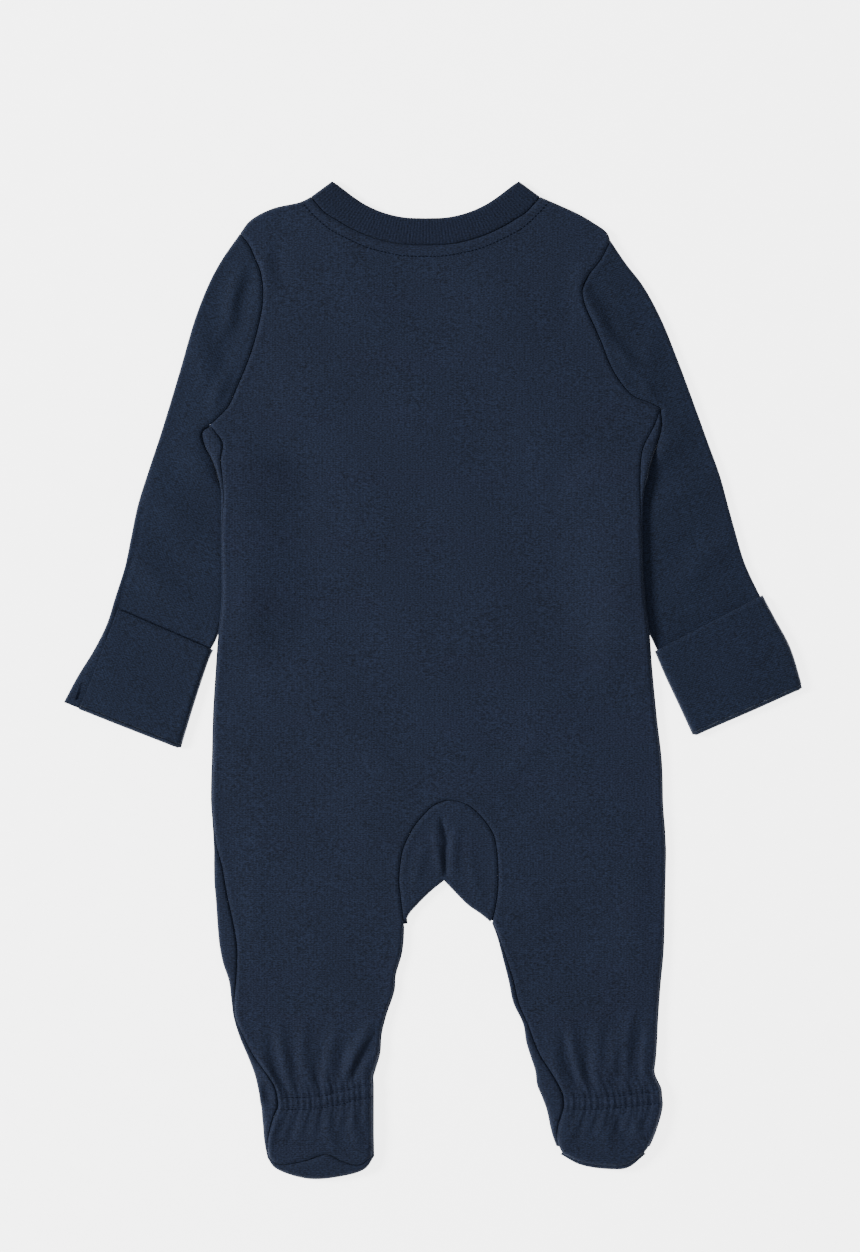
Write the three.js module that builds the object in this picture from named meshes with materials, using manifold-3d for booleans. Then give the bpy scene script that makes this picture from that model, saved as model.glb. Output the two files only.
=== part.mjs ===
// Footed baby sleepsuit of navy cotton interlock, laid flat with its back up.
// Millimetres, +Z up, +Y towards the neck. The front lies on z = 0 and the back lies on the front.
// Every panel is a closed wall of cloth. Its points are placed in plan, then raised by how far they lie
// from the folds of the laid garment, so that the wall rolls round each folded edge.
import * as THREE from "three";
import { mergeVertices } from "three/addons/utils/BufferGeometryUtils.js";
import Module from "manifold-3d";

const wasm = await Module();
wasm.setup();

// Driving dimensions
const WALL = 1.2;
const SEAM_GAP = 0.3;
const BODY_RADIUS = 2.1; // half the laid height of the body
const SLEEVE_RADIUS = 1.8; // half the laid height of a sleeve
const SIDE_SEAM_SHIFT = 0.6; // side seams sit this far onto the back
const NECK_X = -4.2; // middle of the neckline
const PLACKET_OVERLAP = 14;
const PLACKET_RAISE = WALL + SEAM_GAP;
const PLACKET_RAMP = 8;
const PLACKET_FOOT = { y: -66, fade: 10 };
const SHOULDER_WRAP = 0.45; // how far the front turns onto the back along a shoulder
const FRONT_ROW_DROP = 3; // least step between the front's rows at its middle, under the neck
// The body's sides lie on the sleeves
const SIDE_LIFT = { height: 4, top: 134, fadeIn: 14, bottom: 2, fadeOut: 26, reach: 7, across: 24 };
const GATHER_WAVES = 17;
const GATHER_HEIGHT = 1.3;
const COLUMNS_PER_WAVE = 2;
const ELASTIC_THICKNESS = 1;
const STUD_DIAMETER = 9;
const STUD_COUNT = 7;
const STUD_FIRST_Y = 226;
const STUD_PITCH = 43;
const STUD_RIM = { width: 2, height: 0.5 };

const cloth = new THREE.MeshStandardMaterial({ color: 0x242d3e, roughness: 0.9, metalness: 0 });
const rib = new THREE.MeshStandardMaterial({ color: 0x212a3b, roughness: 0.92, metalness: 0 });
const rubber = new THREE.MeshStandardMaterial({ color: 0x2b3346, roughness: 0.8, metalness: 0 });
const enamel = new THREE.MeshStandardMaterial({ color: 0x1f2b45, roughness: 0.35, metalness: 0.3 });

// The panels' lines in plan. Left and right are as seen from above.

// Armholes from the shoulder point to the underarm, below the row that meets the neckline
const SHOULDER_POINT = { left: [-108.1, 250.3], right: [99.3, 246.5] };
const ARMHOLE = [
  { left: [-102.6, 243.4], right: [94.4, 236.6] },
  { left: [-99.7, 236.9], right: [91.3, 232.4] },
  { left: [-96.8, 230], right: [87, 227] },
  { left: [-95.2, 221], right: [83.6, 219.5] },
  { left: [-95.4, 210], right: [84.6, 211.5] },
  { left: [-98, 197], right: [90, 199] },
  { left: [-101, 186], right: [94.6, 188.5] },
  { left: [-105, 175], right: [98.6, 178] },
  { left: [-109.5, 164.5], right: [104.7, 167.4] },
  { left: [-114.2, 154], right: [112, 159.5] },
  { left: [-119.6, 148], right: [121.5, 155.6] },
  { left: [-124.2, 144], right: [126.8, 153] },
  { left: [-125.7, 142.8], right: [128.2, 151.8] },
];
const SHOULDER_FOLD = {
  left: [[-108.1, 250.3], [-102.5, 257.6], [-90.2, 264.3], [-73.9, 268.2], [-68.3, 271]],
  right: [[99.3, 246.5], [97.4, 250.9], [89, 257], [81.8, 261.2], [71.4, 266], [59.9, 271]],
};

// Necklines and the band's free edges, as half widths from the middle of the neck
const NECK = {
  back: [
    { half: 0, y: 243.9, edgeHalf: 0, edgeY: 258.9 },
    { half: 17.8, y: 245, edgeHalf: 14, edgeY: 259.8 },
    { half: 29.8, y: 249.5, edgeHalf: 24, edgeY: 262.9 },
    { half: 41.2, y: 253.7, edgeHalf: 33, edgeY: 266.7 },
    { half: 50.1, y: 258.2, edgeHalf: 40.5, edgeY: 271.2 },
    { half: 56.3, y: 262.1, edgeHalf: 46, edgeY: 275.2 },
    { half: 60.6, y: 266.6, edgeHalf: 49.6, edgeY: 277.9 },
    { half: 62.6, y: 269, edgeHalf: 51.2, edgeY: 278.9 },
    { half: 63.6, y: 270.3, edgeHalf: 52, edgeY: 279.4 },
    { half: 64.1, y: 271, edgeHalf: 52.4, edgeY: 279.6 },
  ],
  front: [
    { half: 0, y: 218, edgeHalf: 0, edgeY: 234 },
    { half: 8.4, y: 218.2, edgeHalf: 8.2, edgeY: 234.2 },
    { half: 19, y: 220.2, edgeHalf: 15, edgeY: 235.6 },
    { half: 29, y: 224, edgeHalf: 24, edgeY: 239 },
    { half: 38, y: 229.4, edgeHalf: 32, edgeY: 244 },
    { half: 46, y: 236, edgeHalf: 38.5, edgeY: 249.5 },
    { half: 52.5, y: 243.4, edgeHalf: 43.8, edgeY: 256 },
    { half: 57.5, y: 251.3, edgeHalf: 47.8, edgeY: 262.6 },
    { half: 61, y: 259.5, edgeHalf: 50.3, edgeY: 269.4 },
    { half: 63.2, y: 266.6, edgeHalf: 51.8, edgeY: 275.5 },
    { half: 63.9, y: 269.6, edgeHalf: 52.3, edgeY: 278.4 },
    { half: 64.1, y: 271, edgeHalf: 52.4, edgeY: 279.6 },
  ],
};

// Body rows from the underarm to the top of the gusset. Under the arms the front turns far onto the back.
// A shift is how far the seam there lies onto the back from the fold.
const BODY_ROWS = [
  { left: [-129, 139.5], right: [127.8, 142.6], leftShift: 7.1, rightShift: 4.2 },
  { left: [-128.5, 133.8], right: [124.5, 130.5], leftShift: 10.7, rightShift: 7 },
  { left: [-123, 123], right: [121.4, 122], leftShift: 4.4, rightShift: 5.4 },
  { left: [-120.4, 115.5], right: [119.8, 115], leftShift: 2.6, rightShift: 4.1 },
  { left: [-118.4, 105], right: [117.6, 103], leftShift: 1.4, rightShift: 1.9 },
  { left: [-118.5, 83], right: [117, 82] },
  { left: [-118.2, 45.4], right: [118.7, 45.4] },
  { left: [-119.8, 28.6], right: [121, 27.4] },
  { left: [-121.5, 8.4], right: [122.6, 8.4] },
  { left: [-123.2, -19], right: [125.4, -20.7] },
  { left: [-123.8, -43], right: [128, -43] },
  { left: [-124.2, -55], right: [128.6, -55], overlap: 0 },
  { left: [-124.3, -66.6], right: [128.8, -66.6], overlap: 0 },
];
const GUSSET_TOP = [9, -66.6];

// Leg rows down to the foot.
// Rows with a gather carry the elastic's puckers, and via is a point that bends the row.
const LEG_ROWS = {
  left: [
    { left: [-124, -72], right: [0.6, -69.4] },
    { left: [-123.5, -79], right: [-5, -74.5] },
    { left: [-123, -86.5], right: [-10.1, -80.6], leftShift: 1 },
    { left: [-122.6, -94.6], right: [-13.7, -86.8], leftShift: 2 },
    { left: [-122.6, -103], right: [-16.8, -94.1], leftShift: 4.4 },
    { left: [-122.4, -113], right: [-18.5, -103.6], leftShift: 6 },
    { left: [-121.6, -122], right: [-19, -112], leftShift: 6.8 },
    { left: [-121, -131], right: [-17.9, -122.6], leftShift: 8.2 },
    { left: [-120.4, -139.4], right: [-16, -137.5], leftShift: 9.4 },
    { left: [-119.5, -148], right: [-16.4, -146], leftShift: 9.8 },
    { left: [-117.6, -157.5], right: [-17.4, -153], leftShift: 8 },
    { left: [-114.2, -168], right: [-20.7, -164.5], leftShift: 4 },
    { left: [-112.8, -179], right: [-21.4, -173], leftShift: 1.6, radius: 2.2 },
    { left: [-111.6, -188], right: [-26, -187], leftShift: 1, radius: 2.3 },
    { left: [-108.1, -199.4], right: [-28.6, -197.7], leftShift: 2.4, radius: 2.5 },
    { left: [-103.6, -210], right: [-29.4, -208], leftShift: 3.6, radius: 2.7, gather: 0.12 },
    { left: [-99.8, -220], right: [-31.8, -216.5], leftShift: 7, radius: 2.9, gather: 0.4 },
    { left: [-98.2, -226.5], right: [-33.2, -221.5], leftShift: 9.4, radius: 3, gather: 0.75 },
    { left: [-97.2, -231.8], via: [-67, -232], right: [-33, -225.5], leftShift: 10, radius: 3, gather: 0.3 },
    { left: [-96.8, -235.3], via: [-67, -235.6], right: [-33, -228.5], leftShift: 10, radius: 3, gather: 1 },
    { left: [-96, -238.8], via: [-67, -239.2], right: [-33, -231.6], leftShift: 9.4, radius: 3, gather: 0.3 },
    { left: [-95.7, -243.2], via: [-66, -243.6], right: [-33, -237], leftShift: 7, radius: 3.2, gather: 0.6 },
    { left: [-95.1, -249], via: [-65, -250], right: [-33, -245], leftShift: 4.4, radius: 3.4, gather: 0.2 },
    { left: [-94.6, -255.6], right: [-33, -253], leftShift: 2.4, radius: 3.4 },
    { left: [-93.8, -261], right: [-32.9, -259.4], leftShift: 1.2, radius: 3.2 },
  ],
  right: [
    { left: [19.6, -69.4], right: [129.2, -74] },
    { left: [25.8, -74.5], right: [129.8, -81] },
    { left: [30.5, -80.1], right: [130.2, -88] },
    { left: [34.2, -86.8], right: [130.5, -95] },
    { left: [35.8, -95.8], right: [130.4, -103] },
    { left: [36.4, -104.7], right: [130.2, -111] },
    { left: [36.4, -114.2], right: [130, -119] },
    { left: [35.6, -122.6], right: [129.9, -127] },
    { left: [33, -135.5], right: [129.7, -137] },
    { left: [35.8, -143], right: [129.4, -146.7], leftShift: 1 },
    { left: [39, -155], right: [128.8, -156], leftShift: 2 },
    { left: [42.3, -168], right: [127.6, -168], leftShift: 2.8 },
    { left: [44.8, -179.8], right: [126.8, -178], leftShift: 3, radius: 2.2 },
    { left: [50.4, -192], right: [126, -190], leftShift: 2.6, radius: 2.3 },
    { left: [52.1, -202], right: [125.5, -201], leftShift: 4.6, radius: 2.5 },
    { left: [54.7, -210.5], right: [124.8, -211], leftShift: 6, radius: 2.7, gather: 0.12 },
    { left: [57.1, -218], right: [124.1, -219], leftShift: 8.6, radius: 2.9, gather: 0.4 },
    { left: [58.2, -226], right: [126.3, -224.4], leftShift: 12, radius: 3, gather: 0.75 },
    { left: [60.6, -231.8], via: [95, -231.6], right: [127.9, -228], leftShift: 12, radius: 3, gather: 0.3 },
    { left: [62, -235.4], via: [95, -235.6], right: [128.3, -232.3], leftShift: 11, radius: 3, gather: 1 },
    { left: [63.3, -239], via: [95, -239.6], right: [128.7, -236.6], leftShift: 9.6, radius: 3, gather: 0.3 },
    { left: [64.4, -243.6], via: [96, -244], right: [127.8, -242], leftShift: 7, radius: 3.2, gather: 0.6 },
    { left: [65.6, -249.6], via: [96, -250], right: [125.9, -248.6], leftShift: 4, radius: 3.4, gather: 0.2 },
    { left: [67.2, -255.4], right: [123.6, -255], leftShift: 2, radius: 3.4 },
    { left: [69, -260], right: [121.4, -260], leftShift: 1.2, radius: 3.2 },
  ],
};
const ARCH_ROW_COUNT = 9; // leg rows that end on the gusset's seam

// Each foot's toe fold and toe seam, both from the left corner to the right corner
const TOES = {
  left: {
    radius: 3,
    fold: [
      [-92.6, -266.6], [-88.5, -272.2], [-70.6, -278.3], [-52.1, -277.2], [-38, -272.8], [-32.8, -265.6],
    ],
    seam: [
      [-91.8, -266.2], [-86.6, -270], [-71.7, -268.2], [-59.4, -264.6], [-50, -268.6], [-41, -270.6],
      [-33.8, -265.2],
    ],
  },
  right: {
    radius: 3,
    fold: [[71.2, -264.6], [82.3, -270.5], [99.1, -273], [108.9, -272.2], [119, -264.4]],
    seam: [[72.2, -264], [82.8, -268.6], [99, -271], [108.2, -270.2], [118, -263.8]],
  },
};

// The crotch fold, from the left leg to the right leg
const CROTCH_FOLD = [
  [-16, -137.5], [-13.7, -131], [-9, -125.4], [-1.1, -117.6], [6.2, -111.7],
  [13.4, -119.3], [19.6, -125.4], [26.9, -130.5], [33, -135.5],
];
const CROTCH_POINT = 4; // where the fold turns
const GUSSET_SHARES = [0, 0.5, 0.85, 0.95, 0.985, 1]; // of the way from the arch to the fold
const GUSSET_CORNER = { left: [-15.5, -136], right: [32, -134.7] };

// Sleeve rows from below the armhole to the cuff. Bend keeps part of the armhole's curve.
const SLEEVE_ROWS = {
  left: [
    { outer: [-118.2, 235.8], inner: [-127.4, 142.5], bend: 0.75 },
    { outer: [-125.2, 222.9], inner: [-129.1, 141.9], bend: 0.5 },
    { outer: [-133, 203.3], inner: [-130.2, 140.6], bend: 0.25 },
    { outer: [-142.2, 171.9], inner: [-130.4, 138.2], bend: 0.1 },
    { outer: [-152.3, 138.6], inner: [-129.3, 133.6] },
    { outer: [-158.8, 119], inner: [-122.3, 119.5] },
    { outer: [-165.2, 98.6], inner: [-115.6, 98] },
    { outer: [-169.5, 78], inner: [-114.2, 58] },
    { outer: [-172.5, 63.8], inner: [-117, 37] },
    { outer: [-178, 46.5], inner: [-121.5, 23] },
    { outer: [-182.6, 31.9], inner: [-125.5, 15.5] },
    { outer: [-189.8, 17.4], inner: [-131.6, -1.7] },
    { outer: [-198.8, 2.8], inner: [-137.8, -21.4] },
    { outer: [-206.6, -11.8], inner: [-142.6, -37.5] },
  ],
  right: [
    { outer: [108.1, 233.5], inner: [129.4, 151.1], bend: 0.75 },
    { outer: [117.6, 221.2], inner: [130.1, 150.3], bend: 0.5 },
    { outer: [127.5, 203], inner: [130.3, 149.3], bend: 0.25 },
    { outer: [137.2, 179.2], inner: [130.3, 147.7], bend: 0.1 },
    { outer: [147.8, 150.5], inner: [128.5, 141] },
    { outer: [154.3, 132.5], inner: [123.6, 125] },
    { outer: [160.7, 114.8], inner: [115.4, 100] },
    { outer: [165, 99], inner: [112, 62] },
    { outer: [169.1, 84], inner: [114.8, 42.6] },
    { outer: [174.5, 66], inner: [119, 31] },
    { outer: [183.1, 47.6], inner: [125.5, 17] },
    { outer: [190, 34.5], inner: [131, 4] },
    { outer: [198.5, 18.5], inner: [138.5, -12] },
    { outer: [205.6, -4.6], inner: [147, -30.4] },
  ],
};

// Mitt rows from the open edge to the cuff. The left mitt starts at the sleeve's seam, not at its fold.
const MITT_ROWS = {
  left: [
    { outer: [-176.1, 40.3], inner: [-123.9, 18.5] },
    { outer: [-181.4, 25.8], inner: [-129.2, 5] },
    { outer: [-187, 11.2], inner: [-133.6, -8] },
    { outer: [-192.6, -3.4], inner: [-138.3, -23] },
    { outer: [-198.2, -15.7], inner: [-142.6, -37.5] },
  ],
  right: [
    { outer: [183.1, 47.6], inner: [125.5, 17] },
    { outer: [190, 34.5], inner: [131, 4] },
    { outer: [198.5, 18.5], inner: [138.5, -12] },
    { outer: [205.6, -4.6], inner: [147, -30.4] },
  ],
};
// Largest soft creases of the back, as ridges (up) and troughs (down) from one point to another
const CREASES = [
  { from: [-95, -196], to: [-86, -227], width: 5, height: 1.2 },
  { from: [-88, -215], to: [-79, -229], width: 4, height: -0.9 },
  { from: [-29, -199], to: [-46, -223], width: 4, height: -1.3 },
  { from: [-36, -199], to: [-52, -224], width: 5, height: 0.9 },
  { from: [71, -198], to: [80, -227], width: 4, height: -1.1 },
  { from: [78, -196], to: [86, -226], width: 5, height: 0.8 },
  { from: [110, -190], to: [104, -227], width: 5, height: 0.9 },
];

const CREASE_EDGE = 6; // creases fade this near a fold
const TROUGH_LIMIT = 0.5; // a trough stops above the front

// Plane geometry

const mix = (a, b, t) => a + (b - a) * t;
const between = (p, q, t) => [mix(p[0], q[0], t), mix(p[1], q[1], t)];
const gapBetween = (p, q) => Math.hypot(q[0] - p[0], q[1] - p[1]);
const smooth = (t) => THREE.MathUtils.smoothstep(t, 0, 1);
const count = (n) => Array.from({ length: n }, (_, i) => i);

function leftHand(p, q) {
  const length = gapBetween(p, q);
  return [(p[1] - q[1]) / length, (q[0] - p[0]) / length];
}

function pointNormals(points) {
  return points.map((point, i) => {
    const [ax, ay] = leftHand(points[Math.max(i - 1, 0)], points[Math.max(i, 1)]);
    const last = points.length - 1;
    const [bx, by] = leftHand(points[Math.min(i, last - 1)], points[Math.min(i + 1, last)]);
    const length = Math.hypot(ax + bx, ay + by);
    return [(ax + bx) / length, (ay + by) / length];
  });
}

function moved(points, distance) {
  const normals = pointNormals(points);
  return points.map(([x, y], i) => [x + normals[i][0] * distance, y + normals[i][1] * distance]);
}

function curveThrough(points) {
  const curve = new THREE.CatmullRomCurve3(
    points.map(([x, y]) => new THREE.Vector3(x, y, 0)), false, "centripetal");
  return (t) => {
    const point = curve.getPointAt(THREE.MathUtils.clamp(t, 0, 1));
    return [point.x, point.y];
  };
}

function spaced(points, steps) {
  const at = curveThrough(points);
  return count(steps + 1).map((i) => at(i / steps));
}

// A fold is a chain of points with the cloth on its left hand.
function makeFold(points) {
  return { points, normals: pointNormals(points) };
}

function nearestFold(folds, x, y) {
  let best = { distance: Infinity, normal: [0, 1] };
  for (const { points, normals } of folds) {
    for (let i = 0; i + 1 < points.length; i += 1) {
      const [ax, ay] = points[i];
      const [bx, by] = points[i + 1];
      const along = ((x - ax) * (bx - ax) + (y - ay) * (by - ay)) / ((bx - ax) ** 2 + (by - ay) ** 2);
      const t = THREE.MathUtils.clamp(along, 0, 1);
      const distance = Math.hypot(x - mix(ax, bx, t), y - mix(ay, by, t));
      if (distance < best.distance) {
        const normal = between(normals[i], normals[i + 1], t);
        const length = Math.hypot(...normal);
        best = { distance, normal: [normal[0] / length, normal[1] / length] };
      }
    }
  }
  return best;
}

// A wall of cloth: points outside and inside, joined by the same triangles, and closed round its edges
class Panel {
  constructor(folds, raiseAt = () => 0) {
    this.folds = folds;
    this.raiseAt = raiseAt;
    this.outer = [];
    this.inner = [];
    this.faces = [];
  }

  // side is 1 on the back of the laid garment and -1 on its front. Depths are below the outer face.
  add({ x, y, side = 1, radius = BODY_RADIUS, gather = 0, raise = 0, depth = 0, wall = WALL }) {
    const { distance, normal } = nearestFold(this.folds, x, y);
    const outward = 1 - Math.min(distance / radius, 1);
    const upward = Math.sqrt(1 - outward * outward);
    const lift = this.raiseAt(x, y, side, distance) + raise;
    const place = (inset) => [
      x + normal[0] * outward * inset,
      y + normal[1] * outward * inset,
      radius + side * upward * (radius - inset) + lift,
    ];
    const outer = place(depth);
    outer[2] += gather;
    this.outer.push(outer);
    this.inner.push(place(depth + wall));
    return this.outer.length - 1;
  }

  addRow(points) {
    return points.map((point) => this.add(point));
  }

  reach(row) {
    const lengths = [0];
    for (let i = 1; i < row.length; i += 1) {
      const a = new THREE.Vector3(...this.outer[row[i - 1]]);
      lengths.push(lengths[i - 1] + a.distanceTo(new THREE.Vector3(...this.outer[row[i]])));
    }
    return lengths.map((length) => length / lengths[lengths.length - 1]);
  }

  // Triangles between two rows, the second row to the right hand of the first
  strip(first, second) {
    const paired = first.length === second.length;
    const firstReach = paired ? count(first.length) : this.reach(first);
    const secondReach = paired ? count(second.length) : this.reach(second);
    let i = 0;
    let j = 0;
    while (i + 1 < first.length || j + 1 < second.length) {
      const onFirst = j + 1 >= second.length
        || (i + 1 < first.length && firstReach[i + 1] < secondReach[j + 1]);
      const face = onFirst ? [first[i], second[j], first[i + 1]] : [first[i], second[j], second[j + 1]];
      if (onFirst) i += 1;
      else j += 1;
      if (new Set(face).size === 3) this.faces.push(face);
    }
  }

  strips(rows) {
    rows.slice(1).forEach((row, i) => this.strip(rows[i], row));
  }

  triangles() {
    const shift = this.outer.length;
    const triangles = [];
    const edges = new Set(this.faces.flatMap(([a, b, c]) => [`${a},${b}`, `${b},${c}`, `${c},${a}`]));
    for (const [a, b, c] of this.faces) {
      triangles.push([a, b, c], [a + shift, c + shift, b + shift]);
      for (const [p, q] of [[a, b], [b, c], [c, a]]) {
        if (!edges.has(`${q},${p}`)) {
          triangles.push([q, p, p + shift], [q, p + shift, q + shift]);
        }
      }
    }
    return triangles;
  }

  geometry() {
    const geometry = new THREE.BufferGeometry();
    const places = [...this.outer, ...this.inner].flat();
    geometry.setAttribute("position", new THREE.Float32BufferAttribute(places, 3));
    geometry.setIndex(this.triangles().flat());
    return geometry;
  }
}

// Row makers. A half row runs from a body edge to the middle line.

const TURN_SHARE = 0.293; // an eighth of a turn, as a share of the radius
const FOLD_TURN = [0, TURN_SHARE, 1];
const FLAT_STEPS = 5;
const UNDER_STEPS = 3; // the same for the front, which lies underneath
const SLEEVE_STEPS = 3;
const WRAP_POINTS = 5; // points of a front row that follow a fold to its seam
const TOE_STEPS = 16;
const TOE_UNDER = [0.45, 0.75, 0.93]; // shares of the way to the toe's fold, and from there to its seam
const TOE_OVER = [0.12, 0.45, 1];

function alongLine(end, inner, distances, extra) {
  const length = gapBetween(end, inner);
  return distances.map((distance) => {
    const [x, y] = between(end, inner, distance / length);
    return { x, y, ...extra };
  });
}

function evenly(from, to, steps) {
  return count(steps).map((i) => mix(from, to, (i + 1) / steps));
}

const evenShares = (points) => count(points).map((i) => i / (points - 1));

// The back's half row: from the seam near the fold, over the top, to the middle
function backHalf(end, middle, { shift = SIDE_SEAM_SHIFT, radius = BODY_RADIUS } = {}) {
  const start = shift + SEAM_GAP / 2;
  const turn = FOLD_TURN.map((share) => start + share * radius);
  const flat = evenly(turn[turn.length - 1], gapBetween(end, middle), FLAT_STEPS);
  return alongLine(end, middle, [...turn, ...flat], { side: 1, radius });
}

function seamHalf(end, middle, side = 1, radius = BODY_RADIUS) {
  const steps = FOLD_TURN.length - 1 + FLAT_STEPS;
  return alongLine(end, middle, [0, ...evenly(0, gapBetween(end, middle), steps)], { side, radius });
}

// Where the front wraps over a fold to its seam: first on the back, then round and under
function frontWrap(end, towards, { shift = SIDE_SEAM_SHIFT, radius = BODY_RADIUS } = {}) {
  const start = shift - SEAM_GAP / 2;
  const turn = Math.min(0.5 * start, radius);
  const over = alongLine(end, towards, [start, turn, 0], { side: 1, radius });
  const under = alongLine(end, towards, [TURN_SHARE * radius, radius], { side: -1, radius });
  return [...over, ...under];
}

// The middle line leans from the neck to the gusset
function middleLine(y) {
  const top = NECK.back[0].y;
  return [mix(NECK_X, GUSSET_TOP[0], (top - y) / (top - GUSSET_TOP[1])), y];
}

// Lift of the body's sides where they lie on the sleeves
function sideLift(y, distance) {
  const { height, top, fadeIn, bottom, fadeOut, reach, across } = SIDE_LIFT;
  const along = smooth((top - y) / fadeIn) * smooth((y - bottom) / fadeOut);
  return height * along * (1 - smooth((distance - reach) / across));
}

function creaseHeight(x, y) {
  return CREASES.reduce((sum, { from, to, width, height }) => {
    const dx = to[0] - from[0];
    const dy = to[1] - from[1];
    const t = THREE.MathUtils.clamp(((x - from[0]) * dx + (y - from[1]) * dy) / (dx * dx + dy * dy), 0, 1);
    const across = Math.hypot(x - mix(from[0], to[0], t), y - mix(from[1], to[1], t));
    return sum + height * Math.sin(Math.PI * mix(0.15, 0.85, t)) * Math.exp(-((across / width) ** 2));
  }, 0);
}

function bodyRaise(x, y, side, distance) {
  const crease = side > 0 ? creaseHeight(x, y) * smooth(distance / CREASE_EDGE) : 0;
  return sideLift(y, distance) + Math.max(crease, -TROUGH_LIMIT);
}

// The folds of the laid garment

const legLine = (leg, edge, from = 0) => LEG_ROWS[leg].slice(from).map((row) => row[edge]);
const underarm = ARMHOLE[ARMHOLE.length - 1];
const bodyOutline = [
  underarm.left,
  ...BODY_ROWS.map((row) => row.left),
  ...legLine("left", "left"),
  ...spaced(TOES.left.fold, TOE_STEPS),
  ...legLine("left", "right", ARCH_ROW_COUNT).reverse(),
  ...CROTCH_FOLD,
  ...legLine("right", "left", ARCH_ROW_COUNT),
  ...spaced(TOES.right.fold, TOE_STEPS),
  ...legLine("right", "right").reverse(),
  ...BODY_ROWS.map((row) => row.right).reverse(),
  underarm.right,
];
const bodyFolds = [
  makeFold(bodyOutline),
  makeFold(spaced([...SHOULDER_FOLD.left].reverse(), 9)),
  makeFold(spaced(SHOULDER_FOLD.right, 9)),
];

// Armhole points from the shoulder to the underarm. The rows above the neckline share its first stretch.
const NECK_ROWS = NECK.back.length - 1;
const armholeLine = (hand) => [
  ...count(NECK_ROWS).map((i) => between(SHOULDER_POINT[hand], ARMHOLE[0][hand], i / NECK_ROWS)),
  ...ARMHOLE.map((row) => row[hand]),
];
const bodyArmhole = {
  left: moved(armholeLine("left"), SEAM_GAP / 2),
  right: moved(armholeLine("right"), -SEAM_GAP / 2),
};
const sleeveArmhole = {
  left: moved(armholeLine("left"), -SEAM_GAP / 2),
  right: moved(armholeLine("right"), SEAM_GAP / 2),
};

// Height of the middle of the back's chest row that ends on an armhole point
const chestHeight = (i) => (ARMHOLE[i].left[1] + ARMHOLE[i].right[1]) / 2;

// Body rows from the underarm down. The first ends clear of the sleeve's corner.
const bodyRows = [{ left: [-124.9, 142.3], right: [127.4, 151.2] }, ...BODY_ROWS];

// Neck points from the middle to the shoulder fold, moved off the seam, towards the body if positive
function neckLine(face, hand, offset) {
  const sign = hand === "left" ? -1 : 1;
  const line = NECK[face].map(({ half, y }) => [NECK_X + sign * half, y]);
  return moved(face === "back" ? line : lapped(line, hand), -sign * offset);
}

// The band's free edge, from the middle to the shoulder fold
function bandEdge(face, hand) {
  const sign = hand === "left" ? -1 : 1;
  const line = NECK[face].map(({ edgeHalf, edgeY }) => [NECK_X + sign * edgeHalf, edgeY]);
  return face === "back" ? line : lapped(line, hand);
}

// A line of the front that starts at the lapped edge of the opening, past the middle
function lapped([[, startY], ...rest], hand) {
  const past = (PLACKET_OVERLAP / 2) * (hand === "left" ? 1 : -1);
  return [[NECK_X + past, startY], ...rest];
}

// Rows between an armhole and the neckline, from the shoulder fold down to the row under the neck
function shoulderRows(hand, face, neck, rowsBelowFold, steps) {
  const armhole = bodyArmhole[hand];
  const fold = curveThrough(SHOULDER_FOLD[hand]);
  const side = face === "back" ? 1 : -1;
  return count(rowsBelowFold + 1).map((k) => {
    const bow = 1 - k / rowsBelowFold;
    const start = armhole[k];
    const end = neck[rowsBelowFold - k];
    return count(steps + 1).map((i) => {
      const t = i / steps;
      const [cx, cy] = between(start, end, t);
      const [fx, fy] = fold(t);
      const [sx, sy] = between(fold(0), fold(1), t);
      return { x: cx + bow * (fx - sx), y: cy + bow * (fy - sy), side };
    });
  });
}

const lastOf = (row) => row[row.length - 1];

// A leg row as a bent line
function legLineOf(row) {
  return curveThrough(row.via ? [row.left, row.via, row.right] : [row.left, row.right]);
}

function legLength(row) {
  const via = row.via ?? row.left;
  return gapBetween(row.left, via) + gapBetween(via, row.right);
}

function gatherWave(i, level) {
  const uneven = 0.78 + 0.22 * Math.sin(i * 0.37) * Math.cos(i * 0.11);
  return GATHER_HEIGHT * level * uneven * (0.5 - 0.5 * Math.cos((2 * Math.PI * i) / COLUMNS_PER_WAVE));
}

// The back's row across a leg, with puckers where the row is gathered
function backLegRow(row, leg) {
  const radius = row.radius ?? BODY_RADIUS;
  const at = legLineOf(row);
  const length = legLength(row);
  const onArch = { left: row.arch && leg === "right", right: row.arch && leg === "left" };
  const reachIn = (hand) => (onArch[hand] ? 0 : (row[`${hand}Shift`] ?? SIDE_SEAM_SHIFT) + SEAM_GAP / 2);
  const from = reachIn("left");
  const to = length - reachIn("right");
  const turns = FOLD_TURN.slice(0, -1).map((share) => share * radius);
  const waves = GATHER_WAVES * COLUMNS_PER_WAVE;
  const gathered = count(waves + 1).map((i) => mix(from, to, i / waves));
  const plain = [
    ...turns.map((d) => from + d),
    ...count(FLAT_STEPS + 1).map((i) => mix(from + radius, to - radius, i / FLAT_STEPS)),
    ...turns.map((d) => to - d).reverse(),
  ];
  return (row.gather ? gathered : plain).map((distance, i) => {
    const [x, y] = at(distance / length);
    return { x, y, side: 1, radius, gather: row.gather ? gatherWave(i, row.gather) : 0 };
  });
}

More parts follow.
